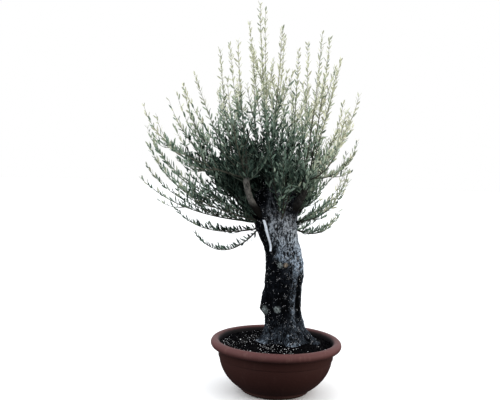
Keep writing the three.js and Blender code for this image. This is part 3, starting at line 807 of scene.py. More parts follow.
# The kept bleach mask also carries painted light on the right and painted shade on the left and the head
base = kept.step(0.14, 0.42).blend(CRACK, bleach_light_shade.blend(low_bark, high_bark))
base = (0.8 * flecks(field, 3.8 * MM, 0.43)).blend(base, GRIT)
for knob in KNOBS:
    base = (scar(field, *knob) * (0.2 + 0.8 * worn)).blend(base, KNOB_GREY)
base = (scar(field, *SAWN_TWIG) * (0.4 + 0.6 * worn)).blend(base, SAWN_WOOD)
give(
    field,
    {
        "Base Color": base,
        "Roughness": 0.92 - 0.12 * worn,
        "Specular IOR Level": 0.01,
        "Normal": (fine + 0.6 * field.cloud(1.5 * MM, 3)).bump(1.6 * MM, 0.8),
    },
)
print("bark finish nodes:", len(bark_finish.node_tree.nodes))

# %% [markdown]
# ## Boughs
# Seven short boughs bend up out of the trunk's head. The one at the front left is pale and bare, and all
# have a dark foot in the crown's shade. Curves with a bevel would be smooth, so each bough is a rod like
# the trunk's, whose rings are carried along a bent line, with a collar where it leaves the trunk, a
# knuckle near its end, and a shallower bark. The bent line is the one of the fixed model, so the shoots
# start where the solids do.


# %% A line that bends
def lerp(low, high, share):
    return low + (high - low) * share


def bent(points, t):
    """The point at share t of a smooth line from the first point to the last, drawn towards the others."""
    t = np.asarray(t, float)[..., None]
    while len(points) > 1:
        points = [lerp(a, b, t) for a, b in zip(points, points[1:])]
    return points[0]


class Bend:
    """A smooth line from its root to its tip, drawn towards any points between them."""

    def __init__(self, *points):
        self.points = points
        self.root, self.tip = points[0], points[-1]

    def at(self, t):
        return bent(self.points, t)

    def along(self, t):
        slope = bent([b - a for a, b in zip(self.points, self.points[1:])], t)
        return slope / np.linalg.norm(slope, axis=-1, keepdims=True)

    def frame(self, t):
        """The direction along the line, and two directions across it."""
        along = self.along(t)
        least = np.argmin(np.abs(self.tip - self.root))
        side = np.eye(3)[least] - along * along[..., least, None]
        side = side / np.linalg.norm(side, axis=-1, keepdims=True)
        return along, side, np.cross(along, side)

    def length(self):
        steps = np.diff(self.at(np.linspace(0, 1, 25)), axis=0)
        return float(np.linalg.norm(steps, axis=1).sum())

    def cut(self, share):
        """The line up to a share of its run."""
        firsts, row = [], self.points
        while row:
            firsts.append(row[0])
            row = [lerp(a, b, share) for a, b in zip(row, row[1:])]
        return Bend(*firsts)


straight = Bend(np.zeros(3), np.array([0.0, 0.0, 1.0]))
print("length of a straight metre:", round(straight.length(), 3))

# %% The boughs' rule
HEAD_LEAN = -17 * MM
HEAD_RADIUS = 103 * MM
# Side, azimuth, base height, reach, top height, base radius and top radius
SIDE_BOUGHS = [
    ("right", 18, 838, 165, 985, 25, 16),
    ("back_right", 64, 842, 165, 990, 24, 16),
    ("back_left", 125, 838, 175, 985, 25, 16),
    ("left", 172, 826, 205, 962, 27, 16),
    ("front_left", 218, 822, 181, 984, 16, 12.5),
    ("front_right", 320, 846, 160, 985, 23, 15),
]
CENTRE_LEAN = -52 * MM
CENTRE_DEPTH = 12 * MM
CENTRE_BASE = 900 * MM
CENTRE_TOP = 1045 * MM
CENTRE_RADII = (30 * MM, 17 * MM)


def polar(azimuth, outward, height):
    """A point by its azimuth and distance from the axis of the trunk's head."""
    turn = math.radians(azimuth)
    return np.array([HEAD_LEAN + outward * math.cos(turn), outward * math.sin(turn), height])


def side_bough(azimuth, base, reach, top):
    return Bend(
        polar(azimuth, 0.6 * HEAD_RADIUS, base - 20 * MM),
        polar(azimuth, 0.95 * reach, lerp(base, top, 0.18)),
        polar(azimuth, reach, top),
    )


boughs = {}
for side, azimuth, base, reach, top, low_radius, top_radius in SIDE_BOUGHS:
    line = side_bough(azimuth, base * MM, reach * MM, top * MM)
    boughs[side] = (line, low_radius * MM, top_radius * MM, azimuth)
centre_line = Bend(
    np.array([HEAD_LEAN, 0, CENTRE_BASE]),
    np.array([lerp(HEAD_LEAN, CENTRE_LEAN, 0.4), CENTRE_DEPTH / 2, lerp(CENTRE_BASE, CENTRE_TOP, 0.5)]),
    np.array([CENTRE_LEAN, CENTRE_DEPTH, CENTRE_TOP]),
)
boughs["centre"] = (centre_line, *CENTRE_RADII, 0)
print("boughs:", len(boughs))

# %% Model the boughs
BOUGH_SIDES = 40
BOUGH_CUTS = 76
BOUGH_PLATES = 7 * MM
BOUGH_BARK = 2.0 * MM
BOUGH_LUMPS = 2.2 * MM
BOUGH_LUMPS_PER_METRE = 38
COLLAR = 0.55
COLLAR_RUN = 0.2
# How much the knuckle swells, where on the bough, and how far along it
KNUCKLE = 0.22
KNUCKLE_AT = 0.93
KNUCKLE_RUN = 0.09
END_ROUNDING = 0.85


def bough_radius(side, t):
    _, low_radius, top_radius, _ = boughs[side]
    return lerp(low_radius, top_radius, np.sqrt(t))


def bark_limb(side):
    """A limb with bark relief along a bough's line."""
    line = boughs[side][0]
    piece = object_of("olive_bough_" + side, rod(BOUGH_SIDES, BOUGH_CUTS))
    unit = corners_of(piece)
    t = unit[:, 2]
    _, across, other = line.frame(t)
    knuckle = np.exp(-(((t - KNUCKLE_AT) / KNUCKLE_RUN) ** 2))
    swell = 1 + COLLAR * np.exp(-t / COLLAR_RUN) + KNUCKLE * knuckle
    radius = bough_radius(side, t) * swell
    end = np.clip((t * line.length() - line.length() + radius) / radius, 0, 1)
    radius = radius * np.sqrt(1 - END_ROUNDING * end**2)
    spoke = unit[:, :1] * across + unit[:, 1:2] * other
    skin = [Vector(point) for point in line.at(t) + radius[:, None] * spoke]
    lumps = np.array([noise.noise(point * BOUGH_LUMPS_PER_METRE) for point in skin])
    relief = bark(skin, BOUGH_PLATES)
    reach = radius + BOUGH_LUMPS * lumps + BOUGH_BARK * (relief - 0.5)
    move_corners(piece, line.at(t) + reach[:, None] * spoke)
    keep(piece, "relief", relief)
    return piece


limbs = {side: bark_limb(side) for side in boughs}
print("bough faces:", sum(len(limb.data.polygons) for limb in limbs.values()))

# %% Finish the boughs
SHADED_FOOT = (0.0062, 0.0056, 0.0050, 1)
FOOT_HEIGHTS = (845 * MM, 880 * MM)
# Colours of the cracks, the plates and the worn plates
DARK_BOUGH = ((0.005, 0.005, 0.005, 1), (0.022, 0.021, 0.020, 1), (0.07, 0.07, 0.066, 1))
PALE_BOUGH = ((0.020, 0.019, 0.018, 1), (0.10, 0.098, 0.090, 1), (0.20, 0.196, 0.182, 1))


def bough_finish(name, crack, plate, worn_colour):
    finish, field = new_finish(name)
    kept = field.node("Attribute", {"attribute_name": "relief"}, output="Fac")
    fine = field.cloud(3 * MM, 5)
    weather = field.cloud(30 * MM, 3)
    colour = kept.step(0.1, 0.5).blend(crack, plate)
    colour = (kept + 0.5 * weather + 0.5 * fine).step(0.8, 1.6).blend(colour, worn_colour)
    colour = field.height().step(*FOOT_HEIGHTS).blend(SHADED_FOOT, colour)
    rough = {"Roughness": 0.88, "Specular IOR Level": 0.08, "Normal": fine.bump(1.2 * MM, 0.8)}
    give(field, {"Base Color": colour, **rough})
    return finish


dark_bough = bough_finish("dark_bough_bark", *DARK_BOUGH)
pale_bough = bough_finish("pale_bough_bark", *PALE_BOUGH)
for side, limb in limbs.items():
    finish = pale_bough if side == "front_left" else dark_bough
    dress(limb, finish, "bough", "bough_" + side)
print("bough finish nodes:", len(dark_bough.node_tree.nodes))

# %% [markdown]
# ## Crown
# Each bough ends in a few leading shoots, and more spring straight from the trunk. Every leading shoot
# carries side shoots, each a golden angle on from the last, that bend up to the light. This is the fixed
# model's rule, written again with its own numbers, so the crown has the same reach. There it stops at
# three side shoots. Here it is carried on to many finer ones. A particle system could do that too, but a
# rule keeps the gaps of sky between the shoots where the photograph has them.

# %% Where the leading shoots end
# Reach and height to the right, to the left and in depth, then sag, bow, twist, turn and fullness
TIERS = {
    "spire": ((242, 1662), (288, 1580), (190, 1600), 0, 0, 0, 0.58, 0.6),
    "upper": ((388, 1350), (450, 1400), (340, 1410), 40, 25, 14, 0.58, 0.6),
    "outer": ((374, 1175), (695, 1300), (430, 1190), 80, 55, -14, 0.58, 0.55),
    "middle": ((350, 1080), (650, 1110), (420, 1090), 85, 75, 0, 0.4, 0.45),
    "low": ((335, 985), (640, 965), (400, 985), 75, 45, 0, 0.15, 0.45),
    "droop": ((295, 822), (500, 822), (340, 810), 85, 0, 0, 0.3, 0.3),
    "hang": ((305, 722), (395, 722), (300, 722), 165, 0, 0, 0.15, 0.16),
    "crest": ((110, 1782), (106, 1782), (130, 1655), 0, 0, 0, 0.58, 0.6),
    "front": ((160, 1280), (160, 1280), (160, 1280), 0, 40, 0, 0.58, 0.6),
}
CREST_AZIMUTHS = {"top": 180, "top_front": 268, "top_back": 82}
UP = np.array([0.0, 0.0, 1.0])
LEAF_LENGTH = 32 * MM
LEAF_ANGLE = math.radians(44)
# The size of a tip leaf and the angle at which it stands, as shares of an old leaf's
TIP_LEAF = 0.72
TIP_CLOSING = 0.68
LEAF_REACH = TIP_LEAF * LEAF_LENGTH * math.cos(TIP_CLOSING * LEAF_ANGLE)


def unit_of(vector):
    return vector / np.linalg.norm(vector)


def tier_tip(tier, azimuth):
    right_end, left_end, depth_end, _, _, twist, _, _ = TIERS[tier]
    cosine = math.cos(math.radians(azimuth + twist))
    right, left = max(0, cosine) ** 2, max(0, -cosine) ** 2
    mixed = np.array(right_end) * right + np.array(left_end) * left
    mixed = mixed + np.array(depth_end) * (1 - right - left)
    return polar(azimuth + twist, *(mixed * MM))


def leading_shoot(root, tier, azimuth):
    """The line of a tier's leading shoot: its tip turns up, and ends a leaf short of the tier's reach."""
    _, _, _, sag, bow, _, turn, _ = TIERS[tier]
    far = tier_tip(tier, azimuth)
    tip = far - LEAF_REACH * unit_of(far - root)
    outward = unit_of((tip - root) * (1, 1, 0))
    elbow = lerp(root, tip, 0.5) + bow * MM * outward - sag * MM * UP
    last = unit_of(lerp(unit_of(tip - elbow), UP, turn))
    return Bend(root, lerp(root, elbow, 2 / 3), tip - 2 / 3 * np.linalg.norm(tip - elbow) * last, tip)


print("top of the crown:", round(float(tier_tip("crest", CREST_AZIMUTHS["top"])[2]), 3))

# %% Seat the leading shoots
SEAT_SPACING = 9.5 * MM
SEAT_DEPTH = 7 * MM
BOUGH_TIERS = ("spire", "upper", "outer")
# Tier, side, azimuth and root height of each shoot that springs from the trunk
TRUNK_SHOOTS = [
    ("low", "right", 8, 778),
    ("low", "back_right", 58, 785),
    ("low", "back_left", 130, 785),
    ("low", "left", 181, 775),
    ("middle", "front_left", 203, 782),
    ("low", "front_right", 336, 782),
    ("droop", "right", 350, 750),
    ("droop", "back", 96, 745),
    ("droop", "left", 170, 745),
    ("hang", "left", 192, 745),
    ("front", "middle", 283, 790),
]
# Each mass: its node, the line of its leading shoot, and how full its side shoots are
masses = []
for side, (line, _, _, azimuth) in boughs.items():
    along = line.along(1)
    rise = unit_of(UP - along * along[2])
    if side == "centre":
        for name, turn in CREST_AZIMUTHS.items():
            outward = polar(turn, 1, 0) - polar(turn, 0, 0)
            root = line.tip + SEAT_SPACING * outward - SEAT_DEPTH * along
            masses.append(("leaves_crest_" + name, leading_shoot(root, "crest", turn), TIERS["crest"][-1]))
        continue
    for row, tier in enumerate(BOUGH_TIERS):
        root = line.tip + SEAT_SPACING * (1 - row) * rise - SEAT_DEPTH * along
        masses.append((f"leaves_{tier}_{side}", leading_shoot(root, tier, azimuth), TIERS[tier][-1]))
for tier, side, azimuth, root_height in TRUNK_SHOOTS:
    root = trunk_point(np.array(math.radians(azimuth)), np.array(root_height * MM), -SEAT_DEPTH)
    masses.append((f"leaves_{tier}_{side}", leading_shoot(root, tier, azimuth), TIERS[tier][-1]))
print("leading shoots:", len(masses))

# %% The side shoots' rule
SHORTEST_SHOOT = 0.35
GOLDEN_ANGLE = 137.5
LIMB_GAP = 5 * MM
SHOOT_CHECKS = 12
# Numbers that turn whole ones into a repeatable fraction
HASH = (12.9898, 78.233, 37.719)
HASH_SCALE = 43758.5453
leader_samples = np.array([leader.at(np.linspace(0, 1, 25)) for _, leader, _ in masses])
limb_shares = np.linspace(0, 1, 21)
limb_middles = [np.stack([fine_profile[::100, 0], 0 * fine_profile[::100, 0], fine_profile[::100, 2]], 1)]
limb_radii = [fine_profile[::100, 1]]
for side, (line, *_) in boughs.items():
    limb_middles.append(line.at(limb_shares))
    limb_radii.append(bough_radius(side, limb_shares))
limb_middles = np.concatenate(limb_middles)
limb_radii = np.concatenate(limb_radii)


def chance(mass, shoot, use):
    """A repeatable fraction from 0 to 1 for one mass, one of its shoots and one use."""
    wave = math.sin(mass * HASH[0] + shoot * HASH[1] + use * HASH[2]) * HASH_SCALE
    return wave - math.floor(wave)


def vary(mass, shoot, use):
    return 0.8 + 0.4 * chance(mass, shoot, use)


def off_limbs(points, gap=LIMB_GAP):
    """Whether each point is clear of the trunk and the boughs."""
    far = np.linalg.norm(points[..., None, :] - limb_middles, axis=-1)
    return np.all(far > limb_radii + gap, axis=-1)


def in_space(points, mass, margin):
    """Whether each point lies nearest to its own leading shoot, give or take a margin."""
    far = np.linalg.norm(points[:, None, None, :] - leader_samples, axis=-1).min(axis=-1)
    own = far[:, mass].copy()
    far[:, mass] = np.inf
    return far.min(axis=-1) > own - margin


def side_shoot(parent, mass, shoot, start, spread, length, rise=0.4):
    """A shoot that leaves its parent, bends up, and runs on."""
    root = parent.at(start)
    along, side, across = parent.frame(start)
    roll = math.radians(GOLDEN_ANGLE * shoot + 360 * chance(mass, 0, 2))
    away = math.cos(roll) * side + math.sin(roll) * across
    first = math.cos(spread) * along + math.sin(spread) * away
    last = unit_of(0.5 * first + 0.3 * along + rise * UP)
    elbow = root + first * length / 2
    return Bend(root, elbow, elbow + last * length / 2)


def kept_part(line, mass, margin):
    """The part of a shoot that stays in its space, or nothing where that is too short."""
    shares = np.arange(3, SHOOT_CHECKS + 1) / SHOOT_CHECKS
    points = line.at(shares)
    free = in_space(points, mass, margin) & off_limbs(points)
    share = 1.0 if free.all() else shares[np.argmin(free)] - 1 / SHOOT_CHECKS
    return line.cut(share) if share >= SHORTEST_SHOOT else None


print("limb balls:", len(limb_radii))

# %% [markdown]
# The first three side shoots of each mass are the fixed model's own, shorter in some tiers to let the sky
# through. Sister shoots, a little thinner, run part of the way from one leading shoot's tip to another's.
# Then come finer shoots low on both kinds, one more on the outer, middle and front side shoots, and leafy
# twigs on the boughs and the trunk's head, which close the dark middle of the crown. The head's front
# stays bare but for a few sprigs, and the tops stay single shoots. One rule with one density would close
# every gap, so each tier and each side has its own count. Shoots may cross a little into the next mass's
# space, as real ones do.

# %% Grow the leading and side shoots
SIDE_SHOOTS = 3
SHOOT_FROM = 0.12
SHOOT_TO = 0.6
SHOOT_STAGGER = 0.8
SHOOT_SPREAD = 26
SHOOT_SHORTENING = 0.6
CROSSING = 45 * MM
STEM_RADIUS = 4.2 * MM
SHOOT_RADIUS = 2.6 * MM
# The tiers whose leading shoots are bare below, and those whose side shoots are shorter
BARE_BELOW = ("spire", "upper", "crest")
SIDE_SHARE = {"spire": 0.7, "crest": 0.6, "upper": 0.75, "outer": 0.8, "low": 0.65, "droop": 0.7}
LEAF_SPACING = 16.3 * MM
CLOSE_SPACING = 10 * MM
# Each shoot: its line, its radius at the root, the share where its leaves start, and their spacing
shoots = []


def add_shoot(line, radius, leaves_from, spacing=LEAF_SPACING):
    if line is not None:
        shoots.append((line, radius, leaves_from, spacing))


side_shoots = []
for mass, (name, leader, fullness) in enumerate(masses):
    tier = name.split("_")[1]
    spacing = CLOSE_SPACING if tier in ("droop", "hang") else LEAF_SPACING
    add_shoot(leader, STEM_RADIUS, 0.2 if tier in BARE_BELOW else 0.04, spacing)
    for shoot in range(0 if tier == "hang" else SIDE_SHOOTS):
        start = lerp(SHOOT_FROM, SHOOT_TO, (shoot + SHOOT_STAGGER * chance(mass, shoot, 1)) / SIDE_SHOOTS)
        spread = math.radians(SHOOT_SPREAD * vary(mass, shoot, 3))
        length = leader.length() * fullness * (1 - SHOOT_SHORTENING * start) * vary(mass, shoot, 4)
        length *= SIDE_SHARE.get(tier, 1)
        grown = kept_part(side_shoot(leader, mass, shoot, start, spread, length), mass, CROSSING)
        add_shoot(grown, SHOOT_RADIUS, 0.12)
        if grown:
            side_shoots.append((mass, shoot, tier, grown))
print("leading and side shoots:", len(shoots))

# %% Grow the sister shoots
lines = {name[len("leaves_") :]: leader for name, leader, _ in masses}
# Two leading shoots, and how far from the first one's tip to the second one's a sister of the first runs
SISTERS = [
    ("crest_top", "crest_top_front", 0.25),
    ("crest_top", "spire_front_left", 0.5),
    ("spire_right", "upper_right", 0.5),
    ("upper_left", "outer_left", 0.22),
    ("spire_front_left", "spire_left", 0.45),
    ("spire_front_right", "spire_back_right", 0.6),
    ("spire_right", "upper_front_right", 0.4),
    ("spire_left", "upper_left", 0.7),
    ("middle_front_left", "outer_front_left", 0.5),
    ("low_left", "outer_left", 0.5),
    ("low_left", "middle_front_left", 0.5),
    ("middle_front_left", "outer_left", 0.35),
    ("low_back_left", "outer_back_left", 0.5),
    ("front_middle", "upper_front_left", 0.45),
    ("front_middle", "upper_front_right", 0.3),
    ("low_right", "outer_right", 0.2),
    ("low_front_right", "outer_front_right", 0.3),
    ("droop_right", "low_right", 0.15),
]
for side in list(boughs)[:-1]:
    SISTERS.append((f"upper_{side}", f"outer_{side}", 0.5))


def between(first, second, share):
    """A line with the root of one line, that runs to between its tip and another's."""
    bends = [lerp(a, b, 0.7 * share) for a, b in zip(first.points[1:-1], second.points[1:-1])]
    return Bend(first.root, *bends, lerp(first.tip, second.tip, share))


sisters = [(first, between(lines[first], lines[second], share)) for first, second, share in SISTERS]
for name, sister in sisters:
    add_shoot(sister, SHOOT_RADIUS, 0.15)
print("sister shoots:", len(sisters))

# %% Grow the finer shoots
FINE_SHOOTS = {
    "spire": 2,
    "crest": 3,
    "upper": 4,
    "outer": 6,
    "front": 9,
    "middle": 6,
    "low": 2,
    "droop": 0,
    "hang": 0,
}
FINE_RADIUS = 1.9 * MM
RIGHT_SHARE = 0.3
SISTER_SHARE = 0.3
FINE_FROM = 0.02
FRONT_FROM = 0.18
FINE_TO = 0.55
FINE_LENGTH = 0.55
FINE_SPREAD = 36
FINE_RISE = 0.9
SHORTEST_FINE = 70 * MM
# The tiers whose side shoots carry one more, and its fullness
FULL_TIERS = ("outer", "middle", "front")
SIDE_FULLNESS = 0.9
# First numbers of the finer shoots on sisters and on side shoots, above those on the leading shoots
SISTER_NUMBERS = 40
SIDE_NUMBERS = 60


def finer(parent, mass, count, fullness, first):
    """Finer shoots on the lower half of a shoot, but not in front of the bare head."""
    lowest = FRONT_FROM if masses[mass][0] == "leaves_front_middle" else FINE_FROM
    for fine in range(first, first + count):
        start = lerp(lowest, FINE_TO, (fine - first + chance(mass, fine, 1)) / count)
        spread = math.radians(FINE_SPREAD * vary(mass, fine, 3))
        length = FINE_LENGTH * fullness * parent.length() * (1 - start) * (0.5 + chance(mass, fine, 4))
        grown = side_shoot(parent, mass, fine, start, spread, max(length, SHORTEST_FINE), FINE_RISE)
        add_shoot(kept_part(grown, mass, CROSSING), FINE_RADIUS, 0.06)


def fine_count(name, share=1.0):
    """How many finer shoots a shoot of a mass carries: fewer on the right, where the crown is open."""
    tier = name.split("_")[0]
    if "right" in name:
        share = share * RIGHT_SHARE
    return round(share * FINE_SHOOTS[tier])


order = list(lines)
for mass, (name, leader) in enumerate(lines.items()):
    finer(leader, mass, fine_count(name), masses[mass][2], SIDE_SHOOTS)
for name, sister in sisters:
    mass = order.index(name)
    finer(sister, mass, fine_count(name, SISTER_SHARE), masses[mass][2], SISTER_NUMBERS)
for mass, shoot, tier, parent in side_shoots:
    if tier in FULL_TIERS and "right" not in masses[mass][0]:
        finer(parent, mass, 1, SIDE_FULLNESS, SIDE_NUMBERS + 4 * shoot)
print("shoots so far:", len(shoots))

# %% Grow the twigs on the boughs
# How many twigs each bough carries, the share of it where they start, and their length
BOUGH_TWIGS = {
    "right": (22, 0.25, 95),
    "back_right": (34, 0.25, 210),
    "back_left": (38, 0.25, 195),
    "left": (70, 0.55, 175),
    "front_left": (12, 0.88, 150),
    "front_right": (18, 0.6, 120),
    "centre": (48, 0.25, 270),
}
TWIG_TO = 0.99
TWIG_SPREAD = 58
TWIG_NUMBERS = 100
TWIG_CHECKS = np.array([0.35, 0.5, 0.65, 0.8, 1.0])


def is_free(line):
    """Whether a twig keeps clear of the limbs once it has left its own."""
    return off_limbs(line.at(TWIG_CHECKS)).all()


before = len(shoots)
for number, (side, (line, *_)) in enumerate(boughs.items()):
    count, lowest, usual = BOUGH_TWIGS[side]
    for twig in range(count):
        use = TWIG_NUMBERS + twig
        start = lerp(lowest, TWIG_TO, (twig + chance(number, use, 1)) / count)
        spread = math.radians(TWIG_SPREAD * vary(number, use, 3))
        grown = side_shoot(line, number, use, start, spread, usual * MM * (0.5 + chance(number, use, 4)))
        if is_free(grown):
            add_shoot(grown, FINE_RADIUS, 0.12)
print("twigs on the boughs:", len(shoots) - before)

# %% Grow the twigs on the head
HEAD_TWIGS = 200
HEAD_HEIGHTS = (835 * MM, 925 * MM)
# The usual length of the head's twigs on the left, and at the open right side, where they are shortest
HEAD_LENGTHS = (180 * MM, 100 * MM)
# How steeply twigs rise, first and last, on the head, under the boughs and in front of the bare bark
HEAD_RISES = ((0.1, 0.8), (0.3, 0.9))
LOW_RISES = ((-0.1, 0.4), (0.1, 0.6))
SPRIG_RISES = (0.9, 1.6)
# The row of chance that the head's twigs draw from
HEAD_ROW = 50
# The azimuths where the head's bark lies bare
BARE_FRONT = (195, 330)
# Short level twigs under the boughs on the left and the right: how many, azimuths, heights and length
LOW_TWIGS = [(22, (158, 212), (768, 840), 88), (7, (-30, 20), (742, 772), 80)]
# The few sprigs that rise in front of the bare bark: azimuth, height and length
FRONT_SPRIGS = [(274, 822, 200), (250, 910, 130), (263, 918, 150), (292, 915, 140)]


def head_twig(azimuth, height, length, first_rise, last_rise):
    """A twig that bends up out of the trunk's head."""
    turn = math.radians(azimuth)
    root = trunk_point(np.array(turn), np.array(height), -SEAT_DEPTH)
    outward = np.array([math.cos(turn), math.sin(turn), 0])
    first = unit_of(outward + first_rise * UP)
    last = unit_of(0.5 * first + last_rise * UP)
    elbow = root + first * length / 2
    return Bend(root, elbow, elbow + last * length / 2)


def rises_of(ranges, row, twig):
    """How steeply a twig rises, first and last."""
    first, last = ranges
    return lerp(*first, chance(row, twig, 2)), lerp(*last, chance(row, twig, 3))


before = len(shoots)
for twig in range(HEAD_TWIGS):
    azimuth = GOLDEN_ANGLE * twig % 360
    height = lerp(*HEAD_HEIGHTS, chance(HEAD_ROW, twig, 1))
    length = lerp(*HEAD_LENGTHS, max(0, math.cos(math.radians(azimuth)))) * (0.5 + chance(HEAD_ROW, twig, 4))
    grown = head_twig(azimuth, height, length, *rises_of(HEAD_RISES, HEAD_ROW, twig))
    if is_free(grown) and not BARE_FRONT[0] < azimuth < BARE_FRONT[1]:
        add_shoot(grown, FINE_RADIUS, 0.15)
for row, (count, azimuths, heights, usual) in enumerate(LOW_TWIGS, HEAD_ROW + 1):
    for twig in range(count):
        azimuth = lerp(*azimuths, chance(row, twig, 5))
        height = lerp(*heights, chance(row, twig, 1)) * MM
        length = usual * MM * (0.5 + chance(row, twig, 4))
        grown = head_twig(azimuth, height, length, *rises_of(LOW_RISES, row, twig))
        if is_free(grown):
            add_shoot(grown, FINE_RADIUS, 0.1)
for azimuth, height, length in FRONT_SPRIGS:
    add_shoot(head_twig(azimuth, height * MM, length * MM, *SPRIG_RISES), FINE_RADIUS, 0.1)
print("twigs on the head:", len(shoots) - before)
print("metres of shoot:", round(sum(line.length() for line, *_ in shoots), 1))

# %% [markdown]
# ## Twigs
# Seen close by, each shoot is a thin round stem, dark near the trunk's head and pale away from it, and the
# finer ones are greener. Curves with a bevel would make them one by one. There are hundreds, so each
# becomes a five-sided tube in an array, and the tubes are joined into two meshes, the leading stems and
# the young ones.

# %% Make the twigs
TIP_RADIUS = 0.6 * MM
TUBE_STEP = 22 * MM
# Colours near the trunk's head and away from it
OLD_WOOD = ((0.032, 0.032, 0.026, 1), (0.22, 0.22, 0.17, 1))
NEW_WOOD = ((0.085, 0.108, 0.086, 1), (0.31, 0.325, 0.25, 1))


def tube(line, root_radius, tip_radius, sides=5):
    """The corners and triangles of a closed tapering tube that ends in a point."""
    steps = max(3, round(line.length() / TUBE_STEP))
    t = np.linspace(0, 1, steps + 1)
    _, side, across = line.frame(t)
    radius = lerp(root_radius, tip_radius, t)[:, None, None]
    turn = 2 * math.pi * np.arange(sides) / sides
    ring = np.cos(turn)[None, :, None] * side[:, None] + np.sin(turn)[None, :, None] * across[:, None]
    corners = line.at(t)[:, None] + radius * ring
    last = line.tip + line.along(1) * 2 * tip_radius
    corner = sides * np.arange(steps)[:, None] + np.arange(sides)
    beside = sides * np.arange(steps)[:, None] + (np.arange(sides) + 1) % sides
    lower = np.stack([corner, beside, beside + sides], -1).reshape(-1, 3)
    upper = np.stack([corner, beside + sides, corner + sides], -1).reshape(-1, 3)
    rim = sides * steps + np.arange(sides)
    rim_beside = sides * steps + (np.arange(sides) + 1) % sides
    tip = np.stack([rim, rim_beside, np.full(sides, sides * (steps + 1))], -1)
    cap = [[0, i + 1, i] for i in range(1, sides - 1)]
    return np.vstack([corners.reshape(-1, 3), last]), np.vstack([lower, upper, tip, cap])


def joined_tubes(name, lines):
    corners, triangles, count = [], [], 0
    for line, radius in lines:
        points, faces = tube(line, radius, TIP_RADIUS)
        corners.append(points)
        triangles.append(faces + count)
        count += len(points)
    return joined(name, np.vstack(corners), np.vstack(triangles), smooth=True)


def stem_finish(name, old, young):
    """Dark old wood near the trunk's head, paler young wood away from it."""
    finish, field = new_finish(name)
    head = (HEAD_LEAN, 0, CENTRE_BASE)
    far = (field.near(head) + 0.1 * field.cloud(40 * MM, 2)).step(0.15, 0.7)
    give(field, {"Base Color": far.blend(old, young), "Roughness": 0.75, "Specular IOR Level": 0.1})
    return finish


mass_nodes = [name for name, _, _ in masses]
stems = [(line, radius) for line, radius, *_ in shoots if radius >= SHOOT_RADIUS]
young = [(line, radius) for line, radius, *_ in shoots if radius < SHOOT_RADIUS]
leading_stems = joined_tubes("leading_stems", stems)
old_wood = stem_finish("grey_brown_stem", *OLD_WOOD)
dress(leading_stems, old_wood, "leaf", *mass_nodes)
young_stems = joined_tubes("young_stems", young)
new_wood = stem_finish("grey_green_stem", *NEW_WOOD)
dress(young_stems, new_wood, "leaf", *mass_nodes)
print("twig triangles:", len(leading_stems.data.polygons) + len(young_stems.data.polygons))

# %% [markdown]
# ## Leaves
# Olive leaves are narrow, a little over three centimetres long, and stand in opposite pairs, each pair a
# quarter turn from the last. They are dark grey-green above and silvery below. They turn up to the light,
# most on the level shoots, and towards a shoot's tip they are smaller and stand closer to it. Flat cards
# with a cut-out picture would be cheaper, but they show from the side. So one leaf is a slim lens of a few
# triangles with a folded middle, in its true outline, and thousands of copies are turned by arrays and
# joined, one piece for each tint.

# %% Shape one leaf
# Places along the leaf, and how wide it is there
LEAF_STATIONS = ((0.18, 0.66), (0.48, 1.0), (0.8, 0.68))
LEAF_FOLD = 0.16
LEAF_CURL = 0.09
LEAF_THICKNESS = 0.07


def leaf_shape():
    """A leaf of length and width 1: x runs along it, y across it and z out of its upper side."""
    corners = [(0, 0, 0), (1, 0, LEAF_CURL)]
    for along, wide in LEAF_STATIONS:
        lift = LEAF_CURL * (2 * along - 1) ** 2
        edge = lift + LEAF_FOLD * wide / 2
        corners += [(along, -wide / 2, edge), (along, wide / 2, edge), (along, 0, lift)]
        corners += [(along, 0, lift - LEAF_THICKNESS)]
    right, left, top, under = ([2 + 4 * station + i for station in range(3)] for i in range(4))
    upper, lower = [], []
    for faces, middle, a, b in ((upper, top, right, left), (lower, under, left, right)):
        faces += [(0, a[0], middle[0]), (0, middle[0], b[0])]
        for i in (0, 1):
            faces += [(middle[i], a[i], a[i + 1]), (middle[i], a[i + 1], middle[i + 1])]
            faces += [(b[i], middle[i], middle[i + 1]), (b[i], middle[i + 1], b[i + 1])]
        faces += [(a[2], 1, middle[2]), (middle[2], 1, b[2])]
    return np.array(corners, float), np.array(upper + lower)


leaf_corners, leaf_triangles = leaf_shape()
print("triangles in a leaf:", len(leaf_triangles))

# %% Where leaves stand on a shoot
PAIR_TURN = math.radians(90)
FIRST_TURN = math.radians(25)
LAST_PAIR = 0.985
LIGHT_TURN = 1.1
# The shares of a shoot from which its leaves close up and get smaller, and how wide the lower ones stand
CLOSING_FROM = 0.45
SMALLER_FROM = 0.6
OLD_OPENING = 1.04
# How much chance changes the places, turns, angles and sizes of the leaves
PLACE_CHANCE = 0.15
TURN_CHANCE = 0.3
ANGLE_CHANCE = 0.3
SIZE_CHANCE = 0.13
draw = np.random.default_rng(21)


